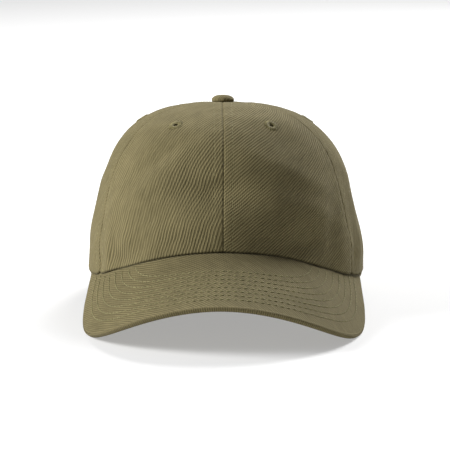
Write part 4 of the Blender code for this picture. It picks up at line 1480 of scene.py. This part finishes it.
class MakeSweatband(bpy.types.Operator):
    """Makes the cotton sweatband and its two sewn rows"""

    bl_idname = "dad_hat.make_sweatband"
    bl_label = "Make sweatband"

    def execute(self, context):
        end, _ = arch_corner()
        azimuths = np.linspace(-end, end, BAND_COLUMNS)[:, None]
        shares = np.linspace(0, 1, BAND_ROWS)
        distances = edge_line(azimuths) + BAND_RAISE + BAND_HEIGHT * shares
        ripple = BAND_RIPPLE * noise_at(azimuths * 9, 3.0, 0.0)
        swell = np.sin(math.pi * shares) * (BAND_SWELL + ripple)
        worn = crown_points(azimuths, distances, band_depth(azimuths) + swell, lining=True)
        run = running(worn[:, BAND_ROWS // 2])
        uvs = paired(run[:, None], shares * BAND_HEIGHT) * MM
        wear_and_shade = np.broadcast_to(BAND_WEAR * bell(shares - 1, 0.05), worn.shape[:2])
        cloth_piece("sweatband_cotton", grid_mesh("band", at_rest(worn), uvs, wear_and_shade=wear_and_shade),
                    "sweatband_twill", BAND_THICKNESS,
                    (float(run[-1]) * 1.03, BAND_HEIGHT * 1.02), "band_cloth", "sweatband")
        chains = []
        azimuths = np.linspace(-end + 0.02, end - 0.02, 360)
        depth = band_depth(azimuths) + BAND_THICKNESS + INNER_THREAD_LIFT
        for raise_by in (BAND_STITCH, BAND_HEIGHT - BAND_STITCH):
            distances = edge_line(azimuths) + BAND_RAISE + raise_by
            points = at_rest(crown_points(azimuths, distances, depth, lining=True))
            chains.append(chain_of(points, -smooth_normals(azimuths, distances)))
        sew("sweatband_stitching", chains, "band_cloth")
        return {"FINISHED"}


def strap_points(azimuth, depth, shares):
    """A column of the strap, which passes the centre back without the seam's dip."""
    low = edge_line(azimuth) + STRAP_RAISE
    depth = depth - float(seam_valley(azimuth, plan_reach(azimuth)))
    return crown_points(azimuth, low + STRAP_WIDTH * shares, depth)


def strap_grid(shares, depth):
    """Columns of the strap from its left end to its right, straight through the buckle."""
    corner, _ = arch_corner()
    start = corner - STRAP_TUCK / plan_reach(corner)
    half = (BUCKLE_LENGTH / 2 + STRAP_THICKNESS) / plan_reach(BUCKLE_AZIMUTH)
    first, last = BUCKLE_AZIMUTH - half, BUCKLE_AZIMUTH + half
    near, far = strap_points(first, depth, shares), strap_points(last, depth, shares)
    columns = []
    for azimuth in np.linspace(start, 2 * math.pi - start, STRAP_COLUMNS):
        azimuth = float(azimuth)
        if first < azimuth < last:
            share = (azimuth - first) / (last - first)
            columns.append(near + (far - near) * share)
        else:
            columns.append(strap_points(azimuth, depth, shares))
    return np.array(columns)


class MakeStrap(bpy.types.Operator):
    """Makes the adjusting strap, its sewn edges and its brass slide"""

    bl_idname = "dad_hat.make_strap"
    bl_label = "Make strap"

    def execute(self, context):
        shares = np.linspace(0, 1, STRAP_ROWS)
        worn = strap_grid(shares, CLOTH + LAYER_GAP)
        inset = STRAP_WIDTH / 2 - np.abs(shares - 0.5) * STRAP_WIDTH
        outward = unit(np.cross(np.gradient(worn, axis=0), np.gradient(worn, axis=1)))
        drop = STRAP_CHANNEL_DEPTH * bell(inset - STRAP_STITCH, CHANNEL_HALF_WIDTH)
        drop += 0.5 * rolled(inset, STRAP_ROLL)
        worn = worn - outward * drop[None, :, None]
        run = running(worn[:, STRAP_ROWS // 2])
        uvs = paired(run[:, None], shares * STRAP_WIDTH) * MM
        wear_and_shade = np.broadcast_to(STRAP_WEAR * bell(inset, STRAP_ROLL), worn.shape[:2])
        cloth_piece("strap_twill", grid_mesh("strap", at_rest(worn), uvs, wear_and_shade=wear_and_shade),
                    "cotton_twill_strap", STRAP_THICKNESS,
                    (float(run[-1]) * 1.02, STRAP_WIDTH * 1.02), "strap_cloth", "back_strap")
        chains = []
        sewn = STRAP_STITCH / STRAP_WIDTH
        for at in (sewn, 1 - sewn):
            lines = strap_grid(np.array([at - 0.03, at, at + 0.03]), CLOTH + LAYER_GAP)
            out = unit(np.cross(np.gradient(lines[:, 1], axis=0), lines[:, 2] - lines[:, 0]))
            kept = slice(10, STRAP_COLUMNS - 10)
            points = at_rest(lines[kept, 1] - out[kept] * STRAP_THREAD_SINK)
            chains.append(chain_of(points, turned_to_rest(out[kept])))
        sew("strap_stitching", chains, "strap_cloth")
        data = bpy.data.meshes.new("slide")
        with edited(bpy.data.objects["strap_buckle"].data, data) as shape:
            bmesh.ops.remove_doubles(shape, verts=shape.verts, dist=0.00001)
        slide = put_in_scene("strap_slide_brass", data, [material_of("aged_brass")])
        edge = slide.modifiers.new("eased_edges", "BEVEL")
        edge.width = SLIDE_ROUNDING
        edge.segments = 3
        edge.limit_method = "ANGLE"
        edge.angle_limit = SLIDE_CREASE
        settle(slide)
        slide.data.set_sharp_from_angle(angle=SLIDE_CREASE)
        hand_over(slide, "buckle_metal", "strap_buckle")
        return {"FINISHED"}


class SetStage(bpy.types.Operator):
    """Sets the floor, the lights and the camera"""

    bl_idname = "dad_hat.set_stage"
    bl_label = "Set stage"

    def execute(self, context):
        mesh = bpy.data.meshes.new("floor")
        corners = [(x * FLOOR_HALF_SIZE, y * FLOOR_HALF_SIZE, 0)
                   for x, y in ((-1, -1), (1, -1), (1, 1), (-1, 1))]
        mesh.from_pydata(corners, [], [(0, 1, 2, 3)])
        floor = put_in_scene("floor", mesh, [pale_floor("matt_white_paper")])
        world = bpy.data.worlds.new("studio")
        world.use_nodes = True
        background = world.node_tree.nodes["Background"]
        background.inputs["Color"].default_value = (1, 1, 1, 1)
        background.inputs["Strength"].default_value = WORLD_STRENGTH
        context.scene.world = world
        context.scene.view_settings.view_transform = "Standard"
        for name, (place, power) in LIGHTS.items():
            data = bpy.data.lights.new(name, "AREA")
            data.shape = "SQUARE"
            data.size = LIGHT_SIZE
            data.energy = power
            set_up(name, data, Vector(place), LIGHT_TARGET)
        data = bpy.data.cameras.new("camera")
        data.sensor_width = CAMERA_SENSOR
        data.lens = CAMERA_LENS
        level = math.cos(CAMERA_ELEVATION)
        way = Vector((math.sin(CAMERA_YAW) * level, -math.cos(CAMERA_YAW) * level,
                      math.sin(CAMERA_ELEVATION)))
        place = CAMERA_TARGET + CAMERA_DISTANCE * way
        context.scene.camera = set_up("camera", data, place, CAMERA_TARGET)
        return {"FINISHED"}


def set_up(name, data, place, target):
    """Puts a light or the camera in the studio, pointed at the target."""
    piece = bpy.data.objects.new(name, data)
    bpy.context.scene.collection.objects.link(piece)
    piece.location = place
    piece.rotation_euler = (target - place).to_track_quat("-Z", "Y").to_euler()
    return piece


STEPS = (MakeCrown, MakePeak, MakeButton, MakeEyelets, MakeSweatband, MakeStrap, SewCrown,
         SewPeak, SetStage)


class HatPanel(bpy.types.Panel):
    """The hat's settings and the steps that build it"""

    bl_idname = "VIEW3D_PT_dad_hat"
    bl_label = "Dad Hat"
    bl_space_type = "VIEW_3D"
    bl_region_type = "UI"
    bl_category = "Dad Hat"

    def draw(self, context):
        for key in HatSettings.__annotations__:
            self.layout.prop(context.scene.dad_hat, key)
        for step in STEPS:
            self.layout.operator(step.bl_idname)


def register():
    for item in (HatSettings, *STEPS, HatPanel):
        bpy.utils.register_class(item)
    bpy.types.Scene.dad_hat = PointerProperty(type=HatSettings)


def unregister():
    del bpy.types.Scene.dad_hat
    for item in (HatPanel, *reversed(STEPS), HatSettings):
        bpy.utils.unregister_class(item)


def main():
    register()
    for step in STEPS:
        group, name = step.bl_idname.split(".")
        getattr(getattr(bpy.ops, group), name)()


if __name__ == "__main__":
    main()
